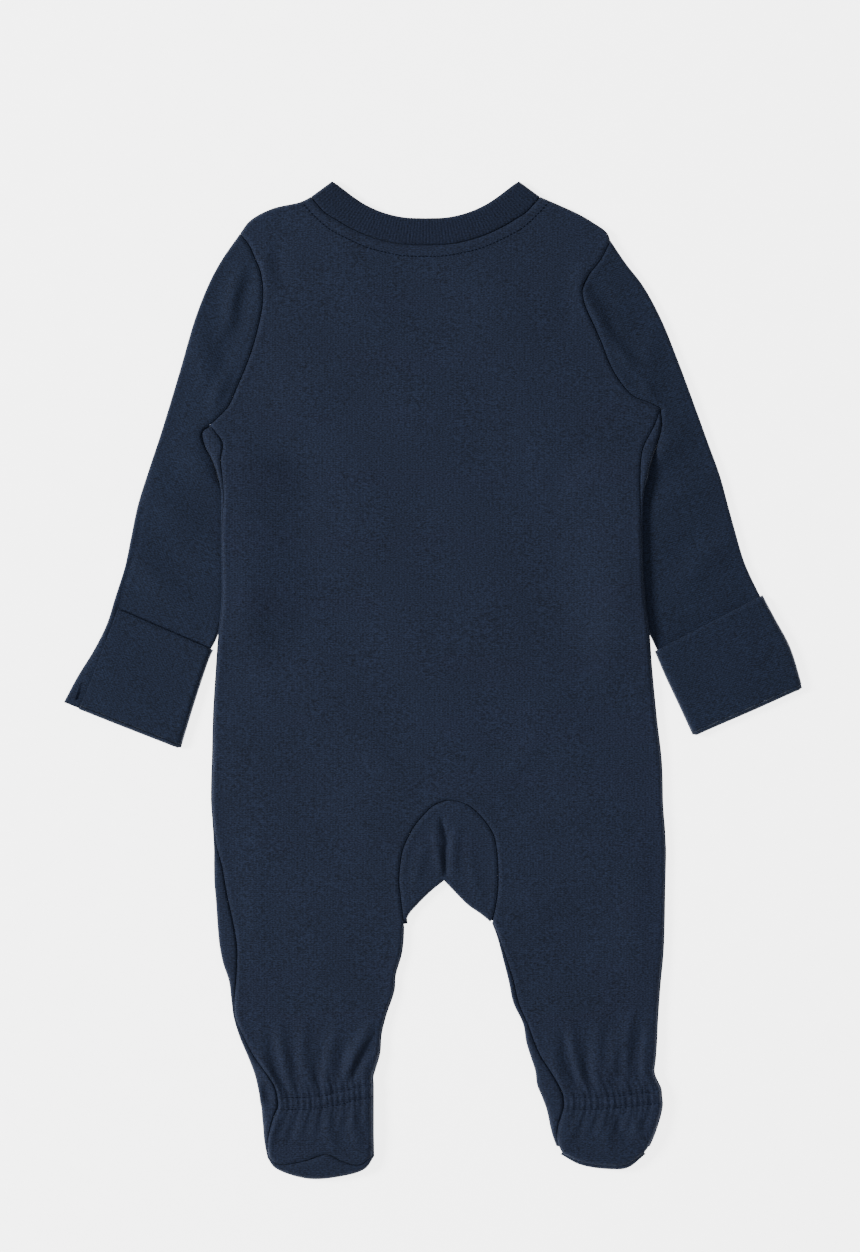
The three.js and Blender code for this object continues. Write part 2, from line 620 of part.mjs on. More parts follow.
// The front's row across a leg: from the right seam on the back, under the leg, to the left seam
function frontLegRow(row, leg) {
  const radius = row.radius ?? BODY_RADIUS;
  const bend = legLineOf(row);
  const length = legLength(row);
  const onArch = { left: row.arch && leg === "right", right: row.arch && leg === "left" };
  const edge = (hand) => {
    if (onArch[hand]) return evenShares(WRAP_POINTS).map((share) => ({ distance: share * radius, side: -1 }));
    const start = (row[`${hand}Shift`] ?? SIDE_SEAM_SHIFT) - SEAM_GAP / 2;
    const turn = Math.min(0.5 * start, radius);
    return [
      ...[start, turn, 0].map((distance) => ({ distance, side: 1 })),
      ...[TURN_SHARE * radius, radius].map((distance) => ({ distance, side: -1 })),
    ];
  };
  const rightEdge = edge("right").map(({ distance, side }) => ({ distance: length - distance, side }));
  const leftEdge = edge("left").reverse();
  const flat = evenly(lastOf(rightEdge).distance, leftEdge[0].distance, UNDER_STEPS)
    .slice(0, -1)
    .map((distance) => ({ distance, side: -1 }));
  return [...rightEdge, ...flat, ...leftEdge].map(({ distance, side }) => {
    const [x, y] = bend(distance / length);
    return { x, y, side, radius };
  });
}

// The arch moved off its seam, out to the body or in to the gusset
const archLine = [
  ...legLine("left", "right").slice(0, ARCH_ROW_COUNT).reverse(),
  GUSSET_TOP,
  ...legLine("right", "left").slice(0, ARCH_ROW_COUNT),
];
const bodyArch = moved(archLine, SEAM_GAP / 2);
const gussetArch = moved(archLine, -SEAM_GAP / 2);

// A leg's rows, the first of them ending on the arch
function legRows(leg) {
  return LEG_ROWS[leg].map((row, i) => {
    if (i >= ARCH_ROW_COUNT) return row;
    if (leg === "left") return { ...row, arch: true, right: bodyArch[ARCH_ROW_COUNT - 1 - i] };
    return { ...row, arch: true, left: bodyArch[ARCH_ROW_COUNT + 1 + i] };
  });
}

// The back, in one from the neck to the toe seams
function makeBack() {
  const panel = new Panel(bodyFolds, bodyRaise);
  const neckLeft = neckLine("back", "left", SEAM_GAP / 2);
  const neckRight = neckLine("back", "right", SEAM_GAP / 2);
  const middle = [NECK_X, neckLeft[0][1]];
  neckLeft[0] = middle;
  neckRight[0] = middle;
  const steps = FOLD_TURN.length - 1 + FLAT_STEPS;
  const leftRows = shoulderRows("left", "back", neckLeft, NECK_ROWS, steps);
  const rightRows = shoulderRows("right", "back", neckRight, NECK_ROWS, steps).map((row) => row.reverse());

  // The row under the neck is shared by both shoulders
  const leftTop = leftRows.slice(1, -1).map((row) => panel.addRow(row));
  const rightTop = rightRows.slice(1, -1).map((row) => panel.addRow(row));
  const under = panel.addRow([...lastOf(leftRows), ...lastOf(rightRows).slice(1)]);
  const half = (under.length - 1) / 2;
  panel.strips([...leftTop, under.slice(0, half + 1)]);
  panel.strips([...rightTop, under.slice(half)]);

  const rows = [under];
  for (let i = 1; i < ARMHOLE.length - 1; i += 1) {
    const centre = middleLine(chestHeight(i));
    const [left, right] = ["left", "right"].map((hand) => seamHalf(bodyArmhole[hand][NECK_ROWS + i], centre));
    rows.push(panel.addRow([...left, ...right.reverse().slice(1)]));
  }
  bodyRows.forEach((row, i) => {
    const last = i === bodyRows.length - 1;
    const centre = last ? bodyArch[ARCH_ROW_COUNT] : middleLine((row.left[1] + row.right[1]) / 2);
    const [left, right] = ["left", "right"].map(
      (hand) => backHalf(row[hand], centre, { shift: row[`${hand}Shift`] }));
    rows.push(panel.addRow([...left, ...right.reverse().slice(1)]));
  });
  panel.strips(rows);

  const split = lastOf(rows);
  for (const leg of ["left", "right"]) {
    const start = leg === "left" ? split.slice(0, half + 1) : split.slice(half);
    const down = legRows(leg).map((row) => panel.addRow(backLegRow(row, leg)));
    const toe = moved(spaced(TOES[leg].seam, TOE_STEPS), SEAM_GAP / 2);
    const toeRow = panel.addRow(toe.map(([x, y]) => ({ x, y, side: 1, radius: TOES[leg].radius })));
    panel.strips([start, ...down, toeRow]);
  }
  return panel;
}

// Height of the left front's placket over the right front's
function placketRaise(x, y) {
  const distance = middleLine(y)[0] + PLACKET_OVERLAP / 2 - x;
  const across = 1 - smooth((distance - PLACKET_OVERLAP - 1) / PLACKET_RAMP);
  return PLACKET_RAISE * across * smooth((y - PLACKET_FOOT.y) / PLACKET_FOOT.fade);
}

function leftFrontRaise(x, y, side, distance) {
  return bodyRaise(x, y, side, distance) + (side < 0 ? placketRaise(x, y) : 0);
}

// The body part of a front row: from the middle edge, under, round the side and onto the back
function frontHalf(end, middle, hand, row) {
  const overlap = row.overlap ?? PLACKET_OVERLAP;
  const towardsEnd = hand === "left" ? -1 : 1;
  const edge = [middle[0] + towardsEnd * (SEAM_GAP / 2) - towardsEnd * (overlap / 2), middle[1]];
  const length = gapBetween(edge, end);
  const lap = (overlap + PLACKET_OVERLAP) / 2 + 1;
  const placket = [0, lap, lap + PLACKET_RAMP / 2, lap + PLACKET_RAMP];
  const flat = evenly(lastOf(placket), length - BODY_RADIUS, UNDER_STEPS);
  const under = alongLine(edge, end, [...placket, ...flat.slice(0, -1)], { side: -1 });
  const toSeam = evenShares(WRAP_POINTS).map((share) => length - (1 - share) * BODY_RADIUS);
  if (row.seam) return [...under, ...alongLine(edge, end, toSeam, { side: -1 })];
  return [...under, ...frontWrap(end, edge, { shift: row[`${hand}Shift`] }).reverse()];
}

// A front panel, with its leg and the foot's upper, wrapped round the toe to the toe seam
function makeFront(hand) {
  const panel = new Panel(bodyFolds, hand === "left" ? leftFrontRaise : bodyRaise);
  const neck = neckLine("front", hand, SEAM_GAP / 2);
  const armhole = bodyArmhole[hand];
  const turned = (row) => (hand === "left" ? [...row].reverse() : row);

  // Rows run from the right to the left under the garment
  const flatNeck = neck.length - 1 - NECK_ROWS; // neck points left for the lowest shoulder row
  const neckRows = shoulderRows(hand, "front", neck.slice(flatNeck), NECK_ROWS, UNDER_STEPS + 4);
  const wrapRow = neckRows[0].map((point, i) => {
    const share = SHOULDER_WRAP / gapBetween([point.x, point.y], [neckRows[1][i].x, neckRows[1][i].y]);
    const [x, y] = between([point.x, point.y], [neckRows[1][i].x, neckRows[1][i].y], share);
    return { x, y, side: 1 };
  });
  const top = [wrapRow, ...neckRows].map((row) => panel.addRow(turned(row)));
  panel.strips(top);

  const flat = panel.addRow(neck.slice(0, flatNeck).map(([x, y]) => ({ x, y, side: -1 })));
  const rows = [hand === "left" ? [...flat, ...lastOf(top)] : [...lastOf(top), ...flat.reverse()]];
  for (let i = 1; i < ARMHOLE.length - 1; i += 1) {
    const underNeck = NECK.front[0].y - FRONT_ROW_DROP * (i + 1);
    const middle = middleLine(Math.min(chestHeight(i), underNeck));
    const half = frontHalf(armhole[NECK_ROWS + i], middle, hand, { seam: true });
    rows.push(panel.addRow(turned(half.reverse())));
  }
  bodyRows.forEach((row, i) => {
    const last = i === bodyRows.length - 1;
    const middle = last ? bodyArch[ARCH_ROW_COUNT] : middleLine((row.left[1] + row.right[1]) / 2);
    rows.push(panel.addRow(turned(frontHalf(row[hand], middle, hand, row).reverse())));
  });
  const down = legRows(hand).map((row) => panel.addRow(frontLegRow(row, hand)));

  const { fold, seam, radius } = TOES[hand];
  const toeLine = [...spaced(fold, TOE_STEPS)].reverse();
  const seamLine = moved(spaced(seam, TOE_STEPS), -SEAM_GAP / 2).reverse();
  const before = legRows(hand)[LEG_ROWS[hand].length - 1];
  const lastLine = spaced([before.left, before.right], TOE_STEPS).reverse();
  const under = TOE_UNDER.map((t) => panel.addRow(
    toeLine.map((point, i) => {
      const [x, y] = between(lastLine[i], point, t);
      return { x, y, side: -1, radius };
    })));
  const toeRow = panel.addRow(toeLine.map(([x, y]) => ({ x, y, side: 1, radius })));
  const over = TOE_OVER.map((t) => {
    const points = toeLine.map((point, i) => between(point, seamLine[i], t)).slice(1, -1);
    return [toeRow[0], ...panel.addRow(points.map(([x, y]) => ({ x, y, side: 1, radius }))), lastOf(toeRow)];
  });
  panel.strips([...rows, ...down, ...under, toeRow, ...over]);
  return panel;
}

// A sleeve: one closed ring of cloth, open at the armhole and at the cuff
const sleeveFolds = {
  left: [
    makeFold([SHOULDER_POINT.left, ...SLEEVE_ROWS.left.map((row) => row.outer)]),
    makeFold([underarm.left, ...SLEEVE_ROWS.left.map((row) => row.inner)].reverse()),
  ],
  right: [
    makeFold([SHOULDER_POINT.right, ...SLEEVE_ROWS.right.map((row) => row.outer)].reverse()),
    makeFold([underarm.right, ...SLEEVE_ROWS.right.map((row) => row.inner)]),
  ],
};

// A sleeve row near the armhole, which keeps part of its curve, point for point
function bentSleeveLine(hand, { outer, inner, bend }) {
  const line = sleeveArmhole[hand];
  const reach = [0];
  line.slice(1).forEach((point, i) => reach.push(reach[i] + gapBetween(line[i], point)));
  return line.map(([x, y], i) => {
    const t = reach[i] / lastOf(reach);
    const [cx, cy] = between(line[0], lastOf(line), t);
    const [px, py] = between(outer, inner, t);
    const kept = bend ** (1 + 3 * t * t); // the curve fades sooner towards the underarm
    return [px + kept * (x - cx), py + kept * (y - cy)];
  });
}

function sleeveLine({ outer, inner }, steps) {
  const length = gapBetween(outer, inner);
  const turn = FOLD_TURN.map((share) => share * SLEEVE_RADIUS);
  const flat = evenly(SLEEVE_RADIUS, length - SLEEVE_RADIUS, steps).slice(0, -1);
  const distances = [...turn, ...flat, ...turn.map((d) => length - d).reverse()];
  return distances.map((distance) => between(outer, inner, distance / length));
}

function makeSleeve(hand) {
  const panel = new Panel(sleeveFolds[hand]);
  const ringOf = (line, radius) => {
    const top = panel.addRow(line.map(([x, y]) => ({ x, y, side: 1, radius })));
    const under = panel.addRow(line.slice(1, -1).map(([x, y]) => ({ x, y, side: -1, radius })));
    return { top, under: [top[0], ...under, lastOf(top)].reverse() };
  };
  const rows = SLEEVE_ROWS[hand];
  const rings = [
    ringOf(sleeveArmhole[hand], BODY_RADIUS),
    ...rows.map((row) => ringOf(
      row.bend ? bentSleeveLine(hand, row) : sleeveLine(row, SLEEVE_STEPS),
      mix(SLEEVE_RADIUS, BODY_RADIUS, row.bend ?? 0))),
  ];
  const facing = hand === "left" ? (row) => row : (row) => [...row].reverse();
  panel.strips(rings.map(({ top }) => facing(top)));
  panel.strips(rings.map(({ under }) => facing(under)));
  return panel;
}

// A mitt: one layer over the sleeve's end, its points moved out from the sleeve's
function makeMitt(hand) {
  const panel = new Panel(sleeveFolds[hand]);
  const depth = -(WALL + SEAM_GAP);
  const rows = MITT_ROWS[hand].map(({ outer, inner }) => {
    const line = sleeveLine({ outer, inner }, SLEEVE_STEPS);
    return panel.addRow(line.map(([x, y]) => ({ x, y, side: 1, radius: SLEEVE_RADIUS, depth })));
  });
  panel.strips(hand === "left" ? rows : rows.map((row) => row.reverse()));
  return panel;
}

// The neckband: one strip round the neck, folded at the shoulders, its ends lapped at the opening
function makeNeckband() {
  const tip = NECK.back.length - 1;
  const foldLine = (hand) => {
    const sign = hand === "left" ? -1 : 1;
    const { half, y, edgeHalf, edgeY } = NECK.back[tip];
    return [[NECK_X + sign * half, y], [NECK_X + sign * edgeHalf, edgeY]];
  };
  const panel = new Panel([makeFold(foldLine("left").reverse()), makeFold(foldLine("right"))]);
  const rows = [0, 0.5, 1].map((t) => {
    const along = (face, hand) => neckLine(face, hand, -SEAM_GAP / 2).map((point, i) => {
      const [x, y] = between(point, bandEdge(face, hand)[i], t);
      const under = face === "front";
      return { x, y, side: under ? -1 : 1, raise: under && hand === "left" ? placketRaise(x, y) : 0 };
    });
    const [frontLeft, backLeft] = [along("front", "left"), along("back", "left").reverse()];
    const [backRight, frontRight] = [along("back", "right"), along("front", "right").reverse()];
    return panel.addRow([...frontLeft.slice(0, -1), ...backLeft, ...backRight.slice(1, -1), ...frontRight]);
  });
  panel.strips(rows.reverse());
  return panel;
}

// The gusset: from the arch on the back, over the crotch fold, to the arch on the front
function makeGusset() {
  const panel = new Panel(bodyFolds);
  const corner = [GUSSET_CORNER.left, GUSSET_CORNER.right];
  const arch = gussetArch.slice(1, -1);
  const crotch = [
    ...spaced(CROTCH_FOLD.slice(0, CROTCH_POINT + 1), ARCH_ROW_COUNT).slice(1),
    ...spaced(CROTCH_FOLD.slice(CROTCH_POINT), ARCH_ROW_COUNT).slice(1, -1),
  ];
  const ends = panel.addRow(corner.map(([x, y]) => ({ x, y })));
  const rowAt = (t, side) => {
    const points = arch.map((point, i) => between(point, crotch[i], t));
    return [ends[0], ...panel.addRow(points.map(([x, y]) => ({ x, y, side }))), ends[1]];
  };
  const top = GUSSET_SHARES.map((t) => rowAt(t, 1));
  const under = GUSSET_SHARES.slice(0, -1).map((t) => rowAt(t, -1));
  panel.strips([...top, ...under.reverse()]);
  return panel;
}

// The elastic: a strip on the inner face of the ankle's puckers
function makeElastic(leg) {
  const panel = new Panel(bodyFolds);
  const first = LEG_ROWS[leg].findIndex((row) => row.gather === 1) - 1;
  const rows = LEG_ROWS[leg].slice(first, first + 3).map((row) => {
    const at = legLineOf(row);
    const length = legLength(row);
    const from = Math.max(row.leftShift ?? 0, row.radius) + 1;
    const to = length - row.radius - 1;
    return panel.addRow(count(9).map((i) => {
      const [x, y] = at(mix(from, to, i / 8) / length);
      return { x, y, radius: row.radius, depth: WALL + SEAM_GAP, wall: ELASTIC_THICKNESS };
    }));
  });
  panel.strips(rows);
  return panel;
}

// Solid of a closed mesh, for cutting
function solidOf(geometry) {
  return new wasm.Manifold(new wasm.Mesh({
    numProp: 3,
    vertProperties: new Float32Array(geometry.getAttribute("position").array),
    triVerts: new Uint32Array(geometry.getIndex().array),
  }));
}

function geometryOf(solid) {
  const { vertProperties, triVerts } = solid.getMesh();
  const geometry = new THREE.BufferGeometry();
  geometry.setAttribute("position", new THREE.BufferAttribute(vertProperties, 3));
  geometry.setIndex(new THREE.BufferAttribute(triVerts, 1));
  return geometry;
}

// A round bar along Z, with its profile given as radius and height pairs
function turnedBar(profile, sides, [x, y]) {
  const lathe = new THREE.LatheGeometry(profile.map(([r, z]) => new THREE.Vector2(r, z)), sides);
  lathe.rotateX(Math.PI / 2);
  lathe.translate(x, y, 0);
  lathe.deleteAttribute("normal");
  lathe.deleteAttribute("uv");
  return mergeVertices(lathe, 1e-4);
}

// Press studs through the two lapped edges, their caps level with the cloth underneath
const STUD_SIDES = 10;
const studPlaces = count(STUD_COUNT).map((i) => {
  const y = STUD_FIRST_Y - i * STUD_PITCH;
  return [middleLine(y)[0], y];
});
const studRadius = STUD_DIAMETER / 2;
const studTop = PLACKET_RAISE + WALL;
const socketRadius = studRadius - STUD_RIM.width;
const studProfile = [
  [0, 0], [studRadius, 0], [studRadius, studTop], [socketRadius, studTop],
  [socketRadius, studTop - STUD_RIM.height], [0, studTop - STUD_RIM.height],
];
const holeRadius = studRadius + SEAM_GAP;
const holeTop = studTop + SEAM_GAP;
const holeProfile = [[0, -WALL], [holeRadius, -WALL], [holeRadius, holeTop], [0, holeTop]];

function withStudHoles(panel) {
  const holes = studPlaces.map((place) => solidOf(turnedBar(holeProfile, STUD_SIDES, place)));
  return geometryOf(holes.reduce((solid, hole) => solid.subtract(hole), solidOf(panel.geometry())));
}

const group = new THREE.Group();

function addMesh(name, geometry, material) {
  const mesh = new THREE.Mesh(geometry, material);
  mesh.name = name;
  group.add(mesh);
}

addMesh("back", makeBack().geometry(), cloth);
addMesh("gusset", makeGusset().geometry(), cloth);
addMesh("neckband", withStudHoles(makeNeckband()), rib);
for (const hand of ["left", "right"]) {
  addMesh(`front_${hand}`, withStudHoles(makeFront(hand)), cloth);
  addMesh(`sleeve_${hand}`, makeSleeve(hand).geometry(), cloth);
  addMesh(`mitt_${hand}`, makeMitt(hand).geometry(), cloth);
  addMesh(`elastic_${hand}`, makeElastic(hand).geometry(), rubber);
}
studPlaces.forEach((place, i) => {
  addMesh(`stud_${i + 1}`, turnedBar(studProfile, STUD_SIDES, place), enamel);
});

// The origin is under the middle of the laid garment.
const middle = new THREE.Box3().setFromObject(group).getCenter(new THREE.Vector3());
group.children.forEach((mesh) => mesh.geometry.translate(-middle.x, -middle.y, 0));

export default group;
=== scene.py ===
"""Footed baby sleepsuit of navy cotton, laid flat with its back up on a pale floor."""
import math

import bpy
import numpy as np
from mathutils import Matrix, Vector
from mathutils.geometry import delaunay_2d_cdt


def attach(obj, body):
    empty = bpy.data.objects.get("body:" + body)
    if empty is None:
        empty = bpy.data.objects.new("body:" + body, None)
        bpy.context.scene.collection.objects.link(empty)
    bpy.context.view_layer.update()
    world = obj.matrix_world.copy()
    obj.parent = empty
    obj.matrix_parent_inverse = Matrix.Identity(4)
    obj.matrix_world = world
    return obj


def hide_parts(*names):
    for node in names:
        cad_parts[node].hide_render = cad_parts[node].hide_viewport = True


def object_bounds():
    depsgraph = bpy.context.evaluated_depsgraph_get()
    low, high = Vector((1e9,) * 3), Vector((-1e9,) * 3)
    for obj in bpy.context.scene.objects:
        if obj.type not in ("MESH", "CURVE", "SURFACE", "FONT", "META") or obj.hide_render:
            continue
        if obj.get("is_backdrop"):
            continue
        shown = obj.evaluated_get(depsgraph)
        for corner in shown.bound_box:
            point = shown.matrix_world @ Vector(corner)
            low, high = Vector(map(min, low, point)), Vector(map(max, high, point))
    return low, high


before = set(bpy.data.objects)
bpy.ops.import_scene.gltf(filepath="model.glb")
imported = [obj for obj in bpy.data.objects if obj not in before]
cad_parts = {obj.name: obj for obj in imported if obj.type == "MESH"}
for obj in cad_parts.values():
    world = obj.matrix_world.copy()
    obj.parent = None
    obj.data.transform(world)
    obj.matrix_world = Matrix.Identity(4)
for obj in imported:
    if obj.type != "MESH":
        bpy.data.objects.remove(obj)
cad_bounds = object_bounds()

# Driving dimensions, in millimetres like all that follows up to the making of a mesh
WALL = 1.2
GAP = 0.3
BODY_RADIUS = 2.1
SLEEVE_RADIUS = 1.8
SIDE_SHIFT = 0.6
PLACKET_OVERLAP = 14
PLACKET_RAISE = WALL + GAP
PUCKERS = 17  # across each ankle
SLOW_WAVES = 8  # wider waves beyond the puckers
HANDS = ("left", "right")
SIGN = {"left": 1, "right": -1}  # the way from each side to the middle
NECK_X = -4.2
GUSSET_TOP = (9, -66.6)
ORIGIN = (0.217, 0.497)  # middle of the laid garment in these tables

# Armholes from the shoulder point to the underarm, below the row that meets the neckline
SHOULDER_POINT = {"left": (-108.1, 250.3), "right": (99.3, 246.5)}
ARMHOLE = {
    "left": [
        (-102.6, 243.4), (-99.7, 236.9), (-96.8, 230), (-95.2, 221), (-95.4, 210), (-98, 197), (-101, 186),
        (-105, 175), (-109.5, 164.5), (-114.2, 154), (-119.6, 148), (-124.2, 144), (-125.7, 142.8),
    ],
    "right": [
        (94.4, 236.6), (91.3, 232.4), (87, 227), (83.6, 219.5), (84.6, 211.5), (90, 199), (94.6, 188.5),
        (98.6, 178), (104.7, 167.4), (112, 159.5), (121.5, 155.6), (126.8, 153), (128.2, 151.8),
    ],
}
SHOULDER_FOLD = {
    "left": [(-108.1, 250.3), (-102.5, 257.6), (-90.2, 264.3), (-73.9, 268.2), (-68.3, 271)],
    "right": [(99.3, 246.5), (97.4, 250.9), (89, 257), (81.8, 261.2), (71.4, 266), (59.9, 271)],
}

# Necklines and the band's free edge: half width and height of the seam, then of the edge
NECK = {
    "back": [
        (0, 243.9, 0, 258.9), (15, 244.6, 12, 259.4), (29.8, 248.2, 23, 261.9), (41.2, 253, 33, 266.2),
        (50.1, 258.1, 40.5, 271), (56.3, 262.1, 46, 275.2), (60.6, 266.6, 49.6, 277.9),
        (62.6, 269, 51.2, 278.9), (63.6, 270.3, 52, 279.4), (64.1, 271, 52.4, 279.6),
    ],
    "front": [
        (0, 218, 0, 234), (8.4, 218.2, 8.2, 234.2), (19, 220.2, 15, 235.6), (29, 224, 24, 239),
        (38, 229.4, 32, 244), (46, 236, 38.5, 249.5), (52.5, 243.4, 43.8, 256), (57.5, 251.3, 47.8, 262.6),
        (61, 259.5, 50.3, 269.4), (63.2, 266.6, 51.8, 275.5), (63.9, 269.6, 52.3, 278.4),
        (64.1, 271, 52.4, 279.6),
    ],
}


def level(left, right, left_shift=SIDE_SHIFT, radius=BODY_RADIUS, right_shift=SIDE_SHIFT):
    """The folds at one height, their roll, and how far the seam lies onto the back from each"""
    return dict(left=left, right=right, left_shift=left_shift, right_shift=right_shift, radius=radius)


# Levels of the body from the underarm to the top of the gusset
BODY_TOP = level((-124.9, 142.3), (127.4, 151.2))
BODY_LEVELS = [
    level((-129, 139.5), (127.8, 142.6), 7.1, right_shift=4.2),
    level((-128.5, 133.8), (124.5, 130.5), 10.7, right_shift=7),
    level((-123, 123), (121.4, 122), 4.4, right_shift=5.4),
    level((-120.4, 115.5), (119.8, 115), 2.6, right_shift=4.1),
    level((-118.4, 105), (117.6, 103), 1.4, right_shift=1.9),
    level((-118.5, 83), (117, 82)),
    level((-118.2, 45.4), (118.7, 45.4)),
    level((-119.8, 28.6), (121, 27.4)),
    level((-121.5, 8.4), (122.6, 8.4)),
    level((-123.2, -19), (125.4, -20.7)),
    level((-123.8, -43), (128, -43)),
    level((-124.2, -55), (128.6, -55)),
    level((-124.3, -66.6), (128.8, -66.6)),
]

# Levels of each leg down to the foot, the first ones ending on the gusset's seam
LEG_LEVELS = {
    "left": [
        level((-124, -72), (0.6, -69.4)),
        level((-123.5, -79), (-5, -74.5)),
        level((-123, -86.5), (-10.1, -80.6), 1),
        level((-122.6, -94.6), (-13.7, -86.8), 2),
        level((-122.6, -103), (-16.8, -94.1), 4.4),
        level((-122.4, -113), (-18.5, -103.6), 6),
        level((-121.6, -122), (-19, -112), 6.8),
        level((-121, -131), (-17.9, -122.6), 8.2),
        level((-120.4, -139.4), (-16, -137.5), 9.4),
        level((-119.5, -148), (-16.4, -146), 9.8),
        level((-117.6, -157.5), (-17.4, -153), 8),
        level((-114.2, -168), (-20.7, -164.5), 4),
        level((-112.8, -179), (-21.4, -173), 1.6, 2.2),
        level((-111.6, -188), (-26, -187), 1, 2.3),
        level((-108.1, -199.4), (-28.6, -197.7), 2.4, 2.5),
        level((-103.6, -210), (-29.4, -208), 3.6, 2.7),
        level((-99.8, -220), (-31.8, -216.5), 7, 2.9),
        level((-98.2, -226.5), (-33.2, -221.5), 9.4, 3),
        level((-97.2, -231.8), (-33, -225.5), 10, 3),
        level((-96.8, -235.3), (-33, -228.5), 10, 3),
        level((-96, -238.8), (-33, -231.6), 9.4, 3),
        level((-95.7, -243.2), (-33, -237), 7, 3.2),
        level((-95.1, -249), (-33, -245), 4.4, 3.4),
        level((-94.6, -255.6), (-33, -253), 2.4, 3.4),
        level((-93.8, -261), (-32.9, -259.4), 1.2, 3.2),
    ],
    "right": [
        level((19.6, -69.4), (129.2, -74)),
        level((25.8, -74.5), (129.8, -81)),
        level((30.5, -80.1), (130.2, -88)),
        level((34.2, -86.8), (130.5, -95)),
        level((35.8, -95.8), (130.4, -103)),
        level((36.4, -104.7), (130.2, -111)),
        level((36.4, -114.2), (130, -119)),
        level((35.6, -122.6), (129.9, -127)),
        level((33, -135.5), (129.7, -137)),
        level((35.8, -143), (129.4, -146.7), 1),
        level((39, -155), (128.8, -156), 2),
        level((42.3, -168), (127.6, -168), 2.8),
        level((44.8, -179.8), (126.8, -178), 3, 2.2),
        level((50.4, -192), (126, -190), 2.6, 2.3),
        level((52.1, -202), (125.5, -201), 4.6, 2.5),
        level((54.7, -210.5), (124.8, -211), 6, 2.7),
        level((57.1, -218), (124.1, -219), 8.6, 2.9),
        level((58.2, -226), (126.3, -224.4), 12, 3),
        level((60.6, -231.8), (127.9, -228), 12, 3),
        level((62, -235.4), (128.3, -232.3), 11, 3),
        level((63.3, -239), (128.7, -236.6), 9.6, 3),
        level((64.4, -243.6), (127.8, -242), 7, 3.2),
        level((65.6, -249.6), (125.9, -248.6), 4, 3.4),
        level((67.2, -255.4), (123.6, -255), 2, 3.4),
        level((69, -260), (121.4, -260), 1.2, 3.2),
    ],
}
ARCH_LEVELS = 9

# Each foot's toe fold and toe seam, both from the left corner to the right corner
TOES = {
    "left": {
        "fold": [
            (-92.6, -266.6), (-88.5, -272.2), (-70.6, -278.3), (-52.1, -277.2), (-38, -272.8),
            (-32.8, -265.6),
        ],
        "seam": [
            (-91.8, -266.2), (-86.6, -270), (-71.7, -268.2), (-59.4, -264.6), (-50, -268.6), (-41, -270.6),
            (-33.8, -265.2),
        ],
    },
    "right": {
        "fold": [(71.2, -264.6), (82.3, -270.5), (99.1, -273), (108.9, -272.2), (119, -264.4)],
        "seam": [(72.2, -264), (82.8, -268.6), (99, -271), (108.2, -270.2), (118, -263.8)],
    },
}

# The crotch fold, from the left leg to the right leg, and the point where it turns
CROTCH_FOLD = [
    (-16, -137.5), (-13.7, -131), (-9, -125.4), (-1.1, -117.6), (6.2, -111.7), (13.4, -119.3),
    (19.6, -125.4), (26.9, -130.5), (33, -135.5),
]
CROTCH_POINT = 4
GUSSET_CORNER = {"left": (-15.5, -136), "right": (32, -134.7)}

# Folds of the sleeves from below the armhole to the cuff
SLEEVE_FOLD = {
    "left": {
        "outer": [
            (-118.2, 235.8), (-125.2, 222.9), (-133, 203.3), (-142.2, 171.9), (-152.3, 138.6),
            (-158.8, 119), (-165.2, 98.6), (-169.5, 78), (-172.5, 63.8), (-178, 46.5), (-182.6, 31.9),
            (-189.8, 17.4), (-198.8, 2.8), (-206.6, -11.8),
        ],
        "inner": [
            (-127.4, 142.5), (-129.1, 141.9), (-129.6, 140.9), (-129.9, 138.2), (-129, 133.6),
            (-121.9, 119.5), (-115.6, 98), (-114.2, 58), (-117, 37), (-121.5, 23), (-125.5, 15.5),
            (-131.6, -1.7), (-137.8, -21.4), (-142.6, -37.5),
        ],
    },
    "right": {
        "outer": [
            (108.1, 233.5), (117.6, 221.2), (127.5, 203), (137.2, 179.2), (147.8, 150.5), (154.3, 132.5),
            (160.7, 114.8), (165, 99), (169.1, 84), (174.5, 66), (183.1, 47.6), (190, 34.5), (198.5, 18.5),
            (205.6, -4.6),
        ],
        "inner": [
            (129.4, 151.1), (130.1, 150.3), (129.4, 149.6), (129.3, 147.6), (128.1, 141), (123.3, 125),
            (115.4, 100), (112, 62), (114.8, 42.6), (119, 31), (125.5, 17), (131, 4), (138.5, -12),
            (147, -30.4),
        ],
    },
}

# Mitts from the open edge to the cuff. The left mitt starts at the sleeve's seam, not at its fold.
MITT_EDGE = {
    "left": {
        "outer": [(-176.1, 40.3), (-181.4, 25.8), (-187, 11.2), (-192.6, -3.4), (-198.2, -15.7)],
        "inner": [(-123.9, 18.5), (-129.2, 5), (-133.6, -8), (-138.3, -23), (-142.6, -37.5)],
    },
    "right": {
        "outer": [(183.1, 47.6), (190, 34.5), (198.5, 18.5), (205.6, -4.6)],
        "inner": [(125.5, 17), (131, 4), (138.5, -12), (147, -30.4)],
    },
}

